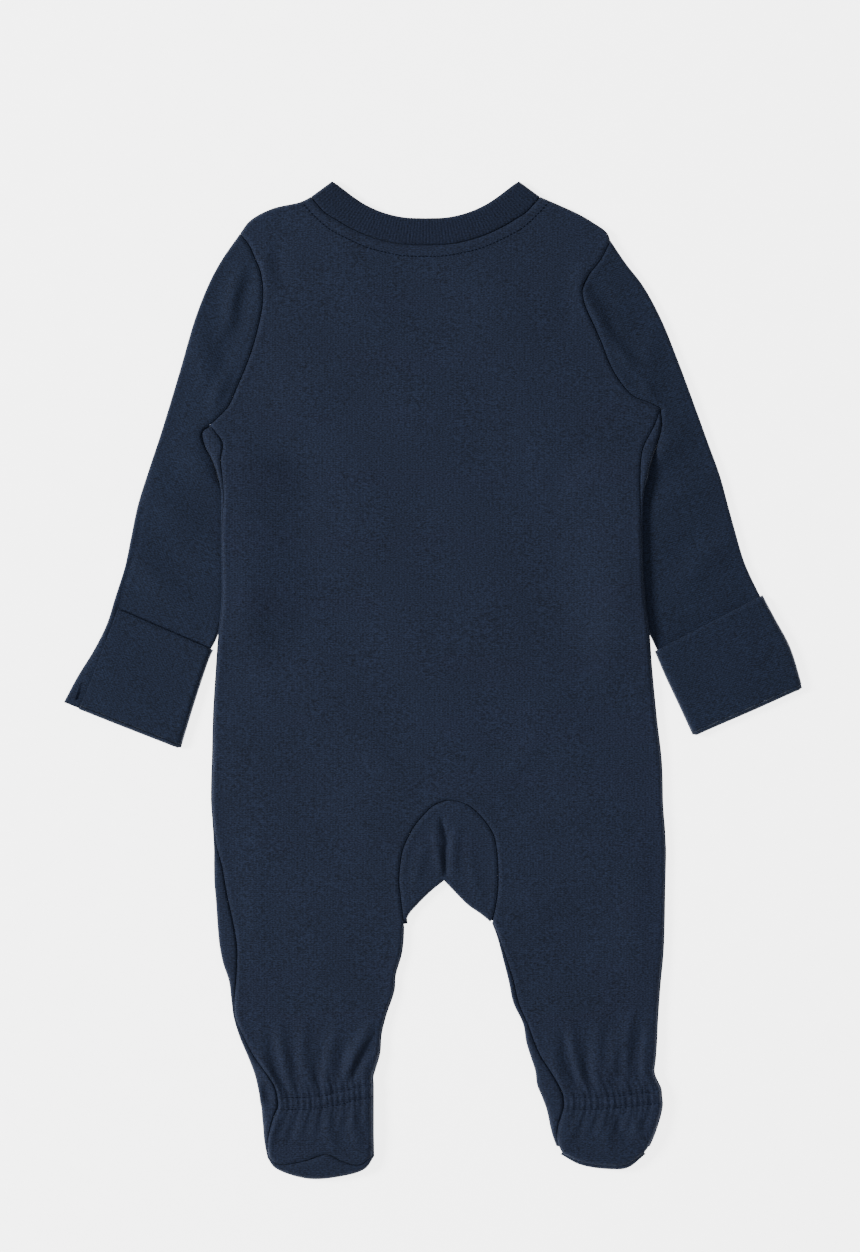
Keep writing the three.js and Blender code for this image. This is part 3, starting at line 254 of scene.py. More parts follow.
# Soft creases of the laid cloth: from, to, width and height. The first two lists lie on the back.
BODY_CREASES = [
    (-93.5, 241.9, -90.2, 217.8, 4.5, 0.9),
    (-88, 246, -84, 222, 5, -0.6),
    (86, 236, 78, 214, 5, 0.7),
    (78, 228, 74, 200, 6, -0.6),
    (-96, 150, -40, 178, 11, 0.6),
    (100, 158, 46, 186, 11, 0.6),
    (-104, 128, -66, 96, 9, 0.7),
    (106, 130, 70, 92, 9, 0.7),
    (-104, 60, -92, -10, 9, 0.6),
    (107, 60, 96, -12, 9, 0.6),
    (-58, 210, -20, 204, 12, 0.4),
    (60, 206, 18, 214, 12, 0.4),
    (-18, -58, -46, -28, 7, 0.6),
    (36, -58, 62, -26, 7, 0.6),
    (-24, -84, -62, -74, 7, 0.6),
    (44, -84, 86, -72, 7, 0.6),
    (-24, -118, -66, -112, 7, 0.7),
    (44, -122, 82, -116, 7, 0.7),
    (-100, -96, -96, -160, 8, 0.6),
    (118, -90, 112, -160, 8, 0.6),
]
ANKLE_CREASES = [
    (-97, -206, -85.5, -232, 3.4, 1.5),
    (-91, -199, -80, -231, 2.6, -1.1),
    (-86, -194, -77.5, -230, 3.4, 1.3),
    (-78, -208, -73, -231, 2.4, -0.9),
    (-72, -190, -70, -230, 3.6, 1),
    (-62, -205, -63.5, -230, 2.4, -0.8),
    (-54, -192, -59, -229, 3.4, 1),
    (-48, -202, -54, -228, 2.6, -0.8),
    (-28.5, -196, -47, -225, 2.6, -1.8),
    (-33, -190, -50, -222, 3.2, 1.5),
    (-37, -200, -44, -223, 4, 0.8),
    (-88, -243, -93, -262, 3, 0.9),
    (-78, -243, -80, -258, 2.6, -0.6),
    (-58, -243, -56, -262, 3, 0.8),
    (-45, -240, -41, -262, 3.2, 1),
    (66, -205, 76, -229, 3, 1.2),
    (72.8, -197.7, 80.6, -226.8, 2.4, -1.4),
    (77, -192, 84, -227, 3.2, 1.3),
    (86, -204, 89, -229, 2.4, -0.8),
    (93, -190, 94, -228, 3.6, 1),
    (100, -222, 101, -229, 2.2, -1.1),
    (103, -196, 101, -227, 3.4, 1),
    (105.8, -205.5, 105, -227, 2.6, -1),
    (111, -186, 107, -227, 3.6, 1.4),
    (117, -196, 112.5, -227, 2.6, -0.9),
    (121, -190, 118, -224, 3, 1),
    (101.9, -243, 108, -256, 2.4, -1),
    (96, -243, 98, -262, 3, 0.8),
    (78, -244, 74, -262, 3, 0.8),
    (112, -243, 117, -258, 3, 0.9),
]
SLEEVE_CREASES = {
    "left": [
        (-101.9, 227.4, -108, 201, 3.6, -1.1),
        (-108, 201, -117.6, 175.8, 3.4, -0.9),
        (-107, 229, -114, 196, 4.4, 1),
        (-114.5, 172, -123, 152, 3.4, 0.8),
        (-140, 128, -118, 112, 7, 0.8),
        (-158, 100, -128, 88, 8, 0.7),
        (-160, 78, -130, 62, 7, -0.5),
        (-168, 70, -140, 44, 7, 0.6),
        (-130, 196, -124, 160, 6, 0.6),
    ],
    "right": [
        (86.6, 212.2, 101.9, 191, 3.8, 1.5),
        (101.9, 191, 113.1, 174.2, 3.6, 1.1),
        (88, 222, 99.5, 212, 4, -1.2),
        (96, 203, 110, 184, 3.2, -0.9),
        (117, 168, 124, 158, 3.2, 0.8),
        (140, 138, 118, 118, 7, 0.8),
        (154, 112, 124, 96, 8, 0.7),
        (158, 86, 128, 66, 7, -0.5),
        (166, 80, 136, 48, 7, 0.6),
        (124, 198, 120, 168, 6, 0.6),
    ],
}
UNDER_CREASES = [
    (-100, 150, -48, 172, 12, 0.6),
    (104, 156, 50, 180, 12, 0.6),
    (-100, 60, -88, -30, 10, 0.5),
    (104, 50, 92, -30, 10, 0.5),
    (-30, -90, -84, -70, 9, 0.6),
    (48, -92, 100, -72, 9, 0.6),
    (-92, -190, -78, -236, 5, 0.8),
    (-70, -196, -66, -240, 5, 0.7),
    (-52, -186, -52, -236, 5, 0.8),
    (76, -186, 84, -236, 5, 0.8),
    (96, -192, 98, -238, 5, 0.7),
    (116, -186, 112, -232, 5, 0.8),
    (-50, 120, -40, 40, 11, 0.5),
    (58, 130, 50, 30, 11, 0.5),
]


# Lines in plan

def mix(a, b, t):
    return a + (b - a) * t


def smooth(t):
    t = np.clip(t, 0, 1)
    return t * t * (3 - 2 * t)


def curve(points, step=1.5):
    """A centripetal curve through points, with its points evenly apart. Columns after x and y go along."""
    p = np.array(points, dtype=float)
    p = np.vstack([2 * p[0] - p[1], p, 2 * p[-1] - p[-2]])
    pieces = []
    for i in range(1, len(p) - 2):
        gaps = [max(np.hypot(*(p[j + 1] - p[j])[:2]) ** 0.5, 1e-4) for j in (i - 1, i, i + 1)]
        d0, d1, d2 = gaps
        start = ((p[i] - p[i - 1]) / d0 - (p[i + 1] - p[i - 1]) / (d0 + d1) + (p[i + 1] - p[i]) / d1) * d1
        end = ((p[i + 1] - p[i]) / d1 - (p[i + 2] - p[i]) / (d1 + d2) + (p[i + 2] - p[i + 1]) / d2) * d1
        t = np.linspace(0, 1, 24, endpoint=False)[:, None]
        rise = -2 * t ** 3 + 3 * t ** 2
        pieces.append(p[i] * (1 - rise) + p[i + 1] * rise
                      + start * (t ** 3 - 2 * t ** 2 + t) + end * (t ** 3 - t ** 2))
    line = np.vstack(pieces + [p[-2:-1]])
    return resampled(line, step)


def lengths(line):
    return np.concatenate([[0], np.cumsum(np.hypot(*np.diff(line[:, :2], axis=0).T))])


def resampled(line, step=None, count=None):
    reach = lengths(line)
    count = count or max(int(round(reach[-1] / step)), 2)
    at = np.linspace(0, reach[-1], count + 1)
    return np.column_stack([np.interp(at, reach, column) for column in line.T])


def left_normals(line, closed=False):
    ahead = np.roll(line, -1, axis=0) - line
    if not closed:
        ahead[-1] = ahead[-2]
    ahead /= np.maximum(np.hypot(*ahead.T), 1e-9)[:, None]
    behind = np.roll(ahead, 1, axis=0)
    if not closed:
        behind[0] = ahead[0]
    normal = np.column_stack([-(ahead + behind)[:, 1], (ahead + behind)[:, 0]])
    return normal / np.maximum(np.hypot(*normal.T), 1e-9)[:, None]


def moved(line, distance):
    return line + left_normals(line) * distance


CHUNK = 3000  # points handled at once


def nearest(lines, points):
    """Each point's distance to the nearest of some lines, and that line's left normal there"""
    best = np.full(len(points), np.inf)
    toward = np.zeros((len(points), 2))
    for line in lines:
        a, b = line[:-1], line[1:]
        ab = b - a
        long2 = np.maximum((ab ** 2).sum(1), 1e-9)
        normals = left_normals(line)
        for start in range(0, len(points), CHUNK):
            p = points[start:start + CHUNK]
            t = np.clip(((p[:, None] - a[None]) * ab[None]).sum(2) / long2, 0, 1)
            gap = p[:, None] - (a[None] + ab[None] * t[..., None])
            d = np.hypot(gap[..., 0], gap[..., 1])
            k = d.argmin(1)
            rows = np.arange(len(p))
            near = d[rows, k]
            normal = mix(normals[k], normals[k + 1], t[rows, k][:, None])
            normal /= np.maximum(np.hypot(*normal.T), 1e-9)[:, None]
            slot = slice(start, start + len(p))
            closer = near < best[slot]
            best[slot] = np.where(closer, near, best[slot])
            toward[slot] = np.where(closer[:, None], normal, toward[slot])
    return best, toward


def inside(outline, points):
    """Which points lie within a closed outline"""
    a, b = outline, np.roll(outline, -1, axis=0)
    hit = np.zeros(len(points), dtype=bool)
    for start in range(0, len(points), CHUNK):
        p = points[start:start + CHUNK]
        spans = (a[None, :, 1] > p[:, None, 1]) != (b[None, :, 1] > p[:, None, 1])
        rise = np.where(np.abs(b[:, 1] - a[:, 1]) < 1e-12, 1e-12, b[:, 1] - a[:, 1])
        cross = a[None, :, 0] + (p[:, None, 1] - a[None, :, 1]) * ((b - a)[:, 0] / rise)[None]
        hit[start:start + len(p)] = (spans & (p[:, None, 0] < cross)).sum(1) % 2 == 1
    return hit


HEXAGON_ROW = 0.866  # height of a row of the grid whose points are 1 apart
EDGE_ROWS = (0.45, 1, 1.7, 2.6)  # distances of the rows of points along an outline
ROW_SLACK = 0.93  # share of its distance that a row's point keeps from every part of the outline
GRID_MARGIN = 0.6
ANKLE_TOP = -192


def hexagonal(low, high, pitch):
    xs = np.arange(low[0], high[0], pitch)
    ys = np.arange(low[1], high[1], pitch * HEXAGON_ROW)
    return np.array([(x + (row % 2) * pitch / 2, y) for row, y in enumerate(ys) for x in xs])


def filled(outline, pitch, fine=None):
    """Points and triangles inside a closed outline, whose own points come first"""
    area = (outline[:, 0] * np.roll(outline[:, 1], -1) - np.roll(outline[:, 0], -1) * outline[:, 1]).sum()
    normals = left_normals(outline, closed=True) * np.sign(area)
    ring = np.vstack([outline, outline[:1]])
    found = []
    for distance in EDGE_ROWS:
        row = outline + normals * distance
        row = row[inside(outline, row)]
        found.append(row[nearest([ring], row)[0] > distance * ROW_SLACK])
    grid = hexagonal(outline.min(0), outline.max(0), pitch)
    if fine:
        dense = hexagonal(outline.min(0), (outline[:, 0].max(), ANKLE_TOP), fine)
        grid = np.vstack([grid[grid[:, 1] > ANKLE_TOP + fine], dense])
    grid = grid[inside(outline, grid)]
    found.append(grid[nearest([ring], grid)[0] > EDGE_ROWS[-1] + GRID_MARGIN])
    points = np.vstack([outline, *found])
    result = delaunay_2d_cdt([Vector(p) for p in points], [], [list(range(len(outline)))], 1, 1e-6)
    index, extra = [], []
    for place, source in zip(result[0], result[3]):
        index.append(min(source) if source else len(points) + len(extra))
        if not source:
            extra.append(place[:])
    if extra:
        points = np.vstack([points, extra])
    return points, np.array([[index[i] for i in triangle] for triangle in result[2]])


# Folds of the laid garment

def edge_line(levels, hand):
    """Fold points down an edge of the body, each with its seam's shift and the step towards the seam"""
    found = []
    for row in levels:
        other = np.array(row["right" if hand == "left" else "left"])
        end = np.array(row[hand])
        step = (other - end) / np.hypot(*(other - end))
        found.append((*end, row[f"{hand}_shift"], *step))
    return curve(found)


sides = {hand: edge_line([BODY_TOP, *BODY_LEVELS, *LEG_LEVELS[hand]], hand) for hand in HANDS}
inner_legs = {
    "left": edge_line(LEG_LEVELS["left"][ARCH_LEVELS - 1:], "right"),
    "right": edge_line(LEG_LEVELS["right"][ARCH_LEVELS - 1:], "left"),
}
toes = {leg: {"fold": curve(TOES[leg]["fold"])} for leg in HANDS}
for leg, toe in toes.items():
    toe["seam"] = resampled(curve(TOES[leg]["seam"], 0.5), count=len(toe["fold"]) - 1)
crotch = np.vstack([curve(CROTCH_FOLD[:CROTCH_POINT + 1], 1.2), curve(CROTCH_FOLD[CROTCH_POINT:], 1.2)[1:]])
shoulder_folds = {hand: curve(SHOULDER_FOLD[hand]) for hand in HANDS}
arch = curve([
    *[row["right"] for row in LEG_LEVELS["left"][:ARCH_LEVELS]][::-1],
    GUSSET_TOP,
    *[row["left"] for row in LEG_LEVELS["right"][:ARCH_LEVELS]],
])
body_arch, gusset_arch = moved(arch, GAP / 2), moved(arch, -GAP / 2)
armholes = {hand: curve([SHOULDER_POINT[hand], *ARMHOLE[hand]]) for hand in HANDS}
body_armholes = {hand: moved(armholes[hand], SIGN[hand] * GAP / 2) for hand in HANDS}
sleeve_armholes = {hand: moved(armholes[hand], -SIGN[hand] * GAP / 2) for hand in HANDS}

outline = np.vstack([
    sides["left"][:, :2], toes["left"]["fold"], inner_legs["left"][::-1, :2], crotch,
    inner_legs["right"][:, :2], toes["right"]["fold"], sides["right"][::-1, :2],
])
keep = np.concatenate([[True], np.hypot(*np.diff(outline, axis=0).T) > 1e-3])
body_folds = [outline[keep], shoulder_folds["left"][::-1], shoulder_folds["right"]]


def neck_line(face, hand, key, offset=0.0):
    """Neck points from the middle to the shoulder fold"""
    sign = -1 if hand == "left" else 1
    column = 0 if key == "seam" else 2
    line = [(NECK_X + sign * row[column], row[column + 1]) for row in NECK[face]]
    if face == "front":
        line[0] = (NECK_X - sign * PLACKET_OVERLAP / 2, line[0][1])
    return moved(curve(line, 1.2), -sign * offset)


# Height of the laid cloth

def middle_x(y):
    neck_y = NECK["back"][0][1]
    return mix(NECK_X, GUSSET_TOP[0], (neck_y - y) / (neck_y - GUSSET_TOP[1]))


CREASE_BOW = 0.04  # how far a crease bows sideways, as a share of its length


def crease_height(table, x, y):
    total = np.zeros_like(x)
    for x0, y0, x1, y1, width, height in table:
        dx, dy = x1 - x0, y1 - y0
        length = math.hypot(dx, dy)
        t = np.clip(((x - x0) * dx + (y - y0) * dy) / (dx * dx + dy * dy), 0, 1)
        bow = CREASE_BOW * length * np.sin(math.pi * t)
        across = np.hypot(x - mix(x0, x1, t) - bow * dy / length, y - mix(y0, y1, t) + bow * dx / length)
        total += height * np.sin(math.pi * mix(0.1, 0.9, t)) * np.exp(-((across / width) ** 2))
    return total


def undulation(x, y):
    """Soft waves of cloth that isn't pressed"""
    return (0.28 * np.sin(x / 17 + 1.3 * np.sin(y / 41)) * np.sin(y / 29 + 0.7)
            + 0.16 * np.sin(x / 9.5 + y / 23 + 2) + 0.12 * np.sin(y / 12.5 - x / 31))


SIDE_LIFT = 4  # height of the body's sides where they lie on the sleeves
LIFT_TOP, LIFT_FADE_IN = 134, 14
LIFT_FOOT, LIFT_FADE_OUT = 2, 26
LIFT_REACH, LIFT_SLOPE = 7, 44


def side_lift(y, distance):
    along = smooth((LIFT_TOP - y) / LIFT_FADE_IN) * smooth((y - LIFT_FOOT) / LIFT_FADE_OUT)
    return SIDE_LIFT * along * (1 - smooth((distance - LIFT_REACH) / LIFT_SLOPE))


# Elastics at the ankles, and half the height of their gathered band
BANDS = {
    "left": [(-97, -235.3), (-67, -235.6), (-33, -228.5)],
    "right": [(62, -235.4), (95, -235.6), (128.5, -232.3)],
}
BAND_HALF = 3.3
LEG_SPLIT = 15  # x between the legs
FOOT_TOP = -168  # below it the roll round the fold grows with the foot


def leg_share(x, y, leg):
    """How far across a leg a point lies, from 0 to 1"""
    levels = LEG_LEVELS[leg]
    left = np.array([(row["left"][1], row["left"][0] + row["left_shift"]) for row in levels])[::-1]
    right = np.array([(row["right"][1], row["right"][0] - SIDE_SHIFT) for row in levels])[::-1]
    low, high = np.interp(y, *left.T), np.interp(y, *right.T)
    return (x - low) / (high - low)


def band_height(x, leg):
    xs, ys = np.array(BANDS[leg]).T
    return np.interp(x, xs, ys)


def puckers(x, y, leg):
    """Gathers at the elastic and their fans above and below"""
    u = leg_share(x, y, leg)
    v = y - band_height(x, leg)
    jitter = 0.006 * np.sin(31 * u + 1) + 0.005 * np.sin(57 * u + (2 if leg == "left" else 4))
    wave = 0.5 - 0.5 * np.cos(2 * math.pi * PUCKERS * (u + jitter))
    uneven = 0.8 + 0.2 * np.sin(u * 43 + 1) * np.cos(u * 19)
    beyond = np.maximum(np.abs(v) - BAND_HALF, 0)
    above = np.where(v > 0, 8.0, 5.0)
    crisp = wave * uneven * np.exp(-((beyond / above) ** 1.3))
    slow = 0.5 - 0.5 * np.cos(2 * math.pi * SLOW_WAVES * (u + 0.012 * np.sin(v / 6)) + 1.2)
    slow *= np.exp(-((beyond - 9) / np.where(v > 0, 11.0, 7.0)) ** 2) * np.where(beyond > 0, 1, 0)
    pinch = np.exp(-(((np.abs(v) - BAND_HALF) / 0.75) ** 2))
    bulge = np.where(np.abs(v) < BAND_HALF, np.cos(math.pi * v / (2 * BAND_HALF)), 0)
    edge = smooth(u / 0.05) * smooth((1 - u) / 0.05)
    body = 1.05 * crisp * (1 - 0.55 * pinch) + 0.5 * slow + 0.35 * bulge - 0.45 * pinch
    near = smooth((28 - beyond) / 14)
    return body * edge * near


def ankle_height(x, y):
    low = y < ANKLE_TOP + 8
    total = np.zeros_like(x)
    for leg, mask in (("left", low & (x < LEG_SPLIT)), ("right", low & (x >= LEG_SPLIT))):
        total[mask] += puckers(x[mask], y[mask], leg)
    return total


def leg_radius(x, y):
    found = np.full(len(x), BODY_RADIUS)
    low = y < FOOT_TOP
    for leg, mask in (("left", low & (x < LEG_SPLIT)), ("right", low & (x >= LEG_SPLIT))):
        levels = LEG_LEVELS[leg][::-1]
        heights = [(row["left"][1] + row["right"][1]) / 2 for row in levels]
        found[mask] = np.interp(y[mask], heights, [row["radius"] for row in levels])
    return found


def placket_raise(x, y):
    """Lift of the left front where it laps over the right one"""
    distance = middle_x(y) + PLACKET_OVERLAP / 2 - x
    across = 1 - smooth((distance - PLACKET_OVERLAP - 1) / 8)
    return PLACKET_RAISE * across * smooth((y + 66) / 10)


DEEPEST = -0.55  # limit of a crease in the body's cloth


def body_height(x, y, side, distance):
    """Lift of the body's cloth above its roll round the folds"""
    inward = smooth(distance / 5)
    lift = side_lift(y, distance)
    if side < 0:
        return lift + inward * np.maximum(crease_height(UNDER_CREASES, x, y), 0) * 0.7
    creases = crease_height(BODY_CREASES, x, y) + crease_height(ANKLE_CREASES, x, y)
    return lift + inward * np.maximum(creases + undulation(x, y), DEEPEST) + ankle_height(x, y)


MOUTH_DIP = 0.9


def mouth_dip(hand, x, y):
    """The sleeve sinks a little in front of the mitt's open edge"""
    (ox, oy), (ix, iy) = MITT_EDGE[hand]["outer"][0], MITT_EDGE[hand]["inner"][0]
    along = np.array([ix - ox, iy - oy]) / math.hypot(ix - ox, iy - oy)
    up = np.array([-along[1], along[0]]) * (1 if along[0] > 0 else -1)
    before = (x - ox) * up[0] + (y - oy) * up[1]
    return -MOUTH_DIP * smooth((before + 2) / 2.5) * np.exp(-np.maximum(before, 0) / 4.5)


SLEEVE_DEPTH = 1.5  # the sleeves' creases as a multiple of their table's heights
SLEEVE_DEEPEST = -0.9


def sleeve_height(hand, dip=1):
    """Creases of a sleeve, and with dip 1 the sinking in front of its mitt"""
    def height(x, y, side, distance):
        inward = smooth(distance / 5)
        if side < 0:
            return inward * np.maximum(undulation(x, y), 0)
        creases = SLEEVE_DEPTH * crease_height(SLEEVE_CREASES[hand], x, y) + undulation(x, y)
        return inward * (np.maximum(creases, SLEEVE_DEEPEST) + dip * mouth_dip(hand, x, y))
    return height


# Cloth

SEAM_DIP = 0.5  # how deep the cloth dips at a seam
SEAM_RIDGE = 0.16  # and rises beside it, over the allowance


class Cloth:
    """A wall of cloth, open where the garment is: outer and inner points with rims between"""

    def __init__(self, folds, height=None, radius=None):
        self.folds = folds
        self.height = height or (lambda x, y, side, distance: np.zeros_like(x))
        self.radius = radius or (lambda x, y: np.full(len(x), BODY_RADIUS))
        self.outer, self.inner, self.faces = [], [], []
        self.count = 0

    def add(self, points, side=1, depth=0.0, seams=(), height=None):
        """Raise points of the plan to the cloth's two faces, above (side 1) or below (side -1) the folds"""
        points = np.asarray(points, dtype=float)[:, :2]
        x, y = points.T
        distance, normal = nearest(self.folds, points)
        radius = self.radius(x, y)
        outward = 1 - np.minimum(distance / radius, 1)
        upward = np.sqrt(1 - outward ** 2)
        lift = (height or self.height)(x, y, side, distance)
        if len(seams):
            gap = nearest(seams, points)[0]
            lift = lift - side * SEAM_DIP * np.exp(-((gap / 0.8) ** 2))
            lift = lift + side * SEAM_RIDGE * np.exp(-((gap - 2.2) ** 2))
            if side < 0:
                lift = np.maximum(lift, 0)
        for store, inset in ((self.outer, depth), (self.inner, depth + WALL)):
            store.append(np.column_stack([
                points + normal * (outward * inset)[:, None],
                radius + side * upward * (radius - inset) + lift,
            ]))
        first = self.count
        self.count += len(points)
        return np.arange(first, self.count)

    def patch(self, outline, ids, pitch, side=1, fine=None, **more):
        """Fill an outline whose points are already there, given by ids, with new points inside"""
        points, triangles = filled(outline, pitch, fine)
        fresh = self.add(points[len(outline):], side, **more)
        triangles = np.concatenate([ids, fresh])[triangles]
        self.faces.append(triangles if side > 0 else triangles[:, ::-1])

    def strip(self, first, second, flip=False):
        """Triangles between two rows of as many points, the second to the right hand of the first"""
        quads = zip(first, second, second[1:], first[1:])
        faces = [face for a, b, c, d in quads for face in ((a, b, c), (a, c, d))]
        faces = np.array([face for face in faces if len(set(face)) == 3])
        self.faces.append(faces[:, ::-1] if flip else faces)

    def solid(self):
        """Points and triangles of both faces, with a rim along every open edge"""
        outer, inner = np.vstack(self.outer), np.vstack(self.inner)
        faces = np.vstack(self.faces)
        shift = len(outer)
        edges = set()
        for a, b, c in faces.tolist():
            edges.update(((a, b), (b, c), (c, a)))
        rim = []
        for a, b in edges:
            if (b, a) not in edges:
                rim += [(b, a, a + shift), (b, a + shift, b + shift)]
        return np.vstack([outer, inner]), np.vstack([faces, faces[:, ::-1] + shift, np.array(rim)])


def mesh_object(name, points, faces, material):
    mesh = bpy.data.meshes.new(name)
    place = (np.asarray(points) - np.array([*ORIGIN, 0])) / 1000
    mesh.from_pydata(place.tolist(), [], [[int(i) for i in face] for face in faces])
    mesh.validate()
    mesh.polygons.foreach_set("use_smooth", [True] * len(mesh.polygons))
    mesh.materials.append(material)
    obj = bpy.data.objects.new(name, mesh)
    bpy.context.scene.collection.objects.link(obj)
    return obj


def cloth_object(name, cloth, material):
    return mesh_object(name, *cloth.solid(), material)


# Materials

class Surface:
    """A material being made: its nodes, and the links between them"""

    def __init__(self, name, **looks):
        self.material = bpy.data.materials.new(name)
        self.material.use_nodes = True
        self.shader = self.material.node_tree.nodes["Principled BSDF"]
        self.set(self.shader, **looks)
        self.place = self.node("ShaderNodeTexCoord").outputs["Object"]

    def set(self, node, **values):
        """Set or link a node's inputs, whose names have an underscore for each space"""
        for key, value in values.items():
            socket = node.inputs[key.replace("_", " ")]
            if isinstance(value, bpy.types.NodeSocket):
                self.material.node_tree.links.new(value, socket)
            else:
                socket.default_value = value

    def node(self, kind, settings=(), **values):
        made = self.material.node_tree.nodes.new(kind)
        for key, value in dict(settings).items():
            setattr(made, key, value)
        self.set(made, **values)
        return made

    def texture(self, kind, place, output="Fac", settings=(), **values):
        return self.node(kind, settings, Vector=place, **values).outputs[output]

    def remap(self, value, low, high, to_low, to_high):
        spans = {"From_Min": low, "From_Max": high, "To_Min": to_low, "To_Max": to_high}
        return self.node("ShaderNodeMapRange", Value=value, **spans).outputs["Result"]

    def maths(self, operation, *terms):
        made = self.node("ShaderNodeMath", {"operation": operation})
        for socket, value in zip(made.inputs, terms):
            if isinstance(value, (int, float)):
                socket.default_value = value
            else:
                self.material.node_tree.links.new(value, socket)
        return made.outputs[0]

    def finished(self, colour, shade, relief, strength, distance):
        """Shade the colour by one value and raise the surface by another"""
        scale = self.node("ShaderNodeVectorMath", {"operation": "SCALE"}, Scale=shade)
        scale.inputs[0].default_value = colour
        bump = self.node("ShaderNodeBump", Strength=strength, Distance=distance, Height=relief)
        self.set(self.shader, Base_Color=scale.outputs["Vector"], Normal=bump.outputs["Normal"])
        return self.material


KNIT_PITCH = 0.0011  # metres from one course of the knit to the next
SHEEN_TINT = (0.55, 0.66, 0.9, 1)


def knit(name, colour, turn=0.0, stipple=1.0):
    """Fine knit: courses and wales in relief, a soft nap, and faint stippled clusters in the same colour"""
    surface = Surface(name, Roughness=0.82, Specular_IOR_Level=0.12, Sheen_Weight=0.07,
                      Sheen_Roughness=0.45, Sheen_Tint=SHEEN_TINT)
    texture, maths = surface.texture, surface.maths
    place = surface.node("ShaderNodeMapping", Vector=surface.place, Rotation=(0, 0, turn)).outputs["Vector"]
    stretched = surface.node("ShaderNodeMapping", Vector=place, Scale=(0.42, 1.0, 1.0)).outputs["Vector"]
    bands = math.pi / (10 * KNIT_PITCH)
    courses = texture("ShaderNodeTexWave", place, settings={"bands_direction": "Y"},
                      Scale=bands, Distortion=0.8, Detail=1.0)
    wales = texture("ShaderNodeTexWave", place, settings={"bands_direction": "X"},
                    Scale=bands * 1.25, Distortion=0.5, Detail=1.0)
    nap = texture("ShaderNodeTexNoise", place, Scale=2600.0, Detail=2.0)
    heather = texture("ShaderNodeTexNoise", stretched, Scale=1900.0, Detail=1.0)
    patches = texture("ShaderNodeTexNoise", place, Scale=26.0, Detail=3.0)
    cloud = texture("ShaderNodeTexNoise", place, Scale=9.0, Detail=2.0)
    specks = texture("ShaderNodeTexVoronoi", place, output="Distance", Scale=520.0)
    clusters = texture("ShaderNodeTexNoise", place, Scale=34.0, Detail=1.0)
    stippled = surface.remap(clusters, 0.56, 0.66, 0, 1)
    dot = maths("MULTIPLY", stippled, surface.remap(specks, 0.16, 0.3, 1, 0))

    tone = maths("MULTIPLY_ADD", patches, 0.22, 0.89)
    deep = maths("MULTIPLY_ADD", cloud, 0.16, 0.92)
    rows = maths("MULTIPLY_ADD", courses, 0.14, 0.93)
    fleck = maths("MULTIPLY_ADD", dot, -0.3 * stipple, 1.0)
    shade = maths("MULTIPLY", maths("MULTIPLY", tone, deep), maths("MULTIPLY", rows, fleck))
    shade = maths("MULTIPLY", shade, surface.remap(heather, 0.3, 0.7, 0.42, 1.6))
    relief = maths("ADD", maths("MULTIPLY", courses, 0.6), maths("MULTIPLY", wales, 0.3))
    relief = maths("ADD", relief, maths("MULTIPLY", nap, 0.8))
    relief = maths("ADD", relief, maths("MULTIPLY", dot, -0.5 * stipple))
    return surface.finished(colour, shade, relief, 0.6, 0.0003)


def plain(name, colour, rough, grain, relief, specular=0.3, metallic=0.0):
    """A quiet surface with a fine grain in colour and relief"""
    surface = Surface(name, Roughness=rough, Specular_IOR_Level=specular, Metallic=metallic)
    noise = surface.texture("ShaderNodeTexNoise", surface.place, Scale=grain, Detail=3)
    return surface.finished(colour, surface.remap(noise, 0, 1, 0.93, 1.07), noise, 0.3, relief)


BODY_NAVY = (0.0068, 0.0104, 0.0232)
SLEEVE_NAVY = (0.0056, 0.0092, 0.0212)
RIB_NAVY = (0.0046, 0.0076, 0.0185)
body_cotton = knit("body_cotton", BODY_NAVY)
sleeve_cotton = {
    "left": knit("sleeve_cotton_left", SLEEVE_NAVY, math.radians(16)),
    "right": knit("sleeve_cotton_right", SLEEVE_NAVY, math.radians(-18)),
}
rib_cotton = knit("rib_cotton", RIB_NAVY, stipple=0.0)
thread = plain("thread", (0.0022, 0.0036, 0.0085), 0.8, 1500.0, 0.00005, specular=0.04)
elastic_web = plain("elastic_web", (0.02, 0.028, 0.05), 0.8, 1200.0, 0.0001)
enamel = plain("stud_enamel", (0.012, 0.02, 0.045), 0.35, 400.0, 0.00002, specular=0.5, metallic=0.2)


# The pieces

LEAST_STEP = 0.25  # points nearer to each other than this count as one


def joined(*lines):
    """One chain of points without any that nearly repeat"""
    chain = np.vstack([np.asarray(line)[:, :2] for line in lines])
    kept = [chain[0]]
    for point in chain[1:]:
        if np.hypot(*(point - kept[-1])) > LEAST_STEP:
            kept.append(point)
    if np.hypot(*(kept[0] - kept[-1])) < LEAST_STEP:
        kept.pop()
    return np.array(kept)


def seam_of(edge, offset):
    return edge[:, :2] + edge[:, 3:5] * (edge[:, 2:3] + offset)


CLOTH_PITCH = 2.3
ANKLE_PITCH = 1.05



def whole_neck(offset=0.0):
    """The seam on the back of the neck from the left shoulder to the right one"""
    left, right = (neck_line("back", hand, "seam", offset) for hand in HANDS)
    return np.vstack([left[::-1], right[1:]])


neck_back = whole_neck(GAP / 2)
shoulder_seams = {hand: moved(shoulder_folds[hand], -SIGN[hand] * (SIDE_SHIFT + GAP / 2)) for hand in HANDS}
toe_seams_back = {leg: moved(toes[leg]["seam"], GAP / 2) for leg in toes}
toe_seams_front = {leg: moved(toes[leg]["seam"], -GAP / 2) for leg in toes}
back_parts = [
    neck_back,
    shoulder_seams["right"][::-1],
    body_armholes["right"],
    seam_of(sides["right"], GAP / 2),
    toe_seams_back["right"][::-1],
    seam_of(inner_legs["right"], GAP / 2)[::-1],
    body_arch[::-1],
    seam_of(inner_legs["left"], GAP / 2),
    toe_seams_back["left"][::-1],
    seam_of(sides["left"], GAP / 2)[::-1],
    body_armholes["left"][::-1],
    shoulder_seams["left"],
]


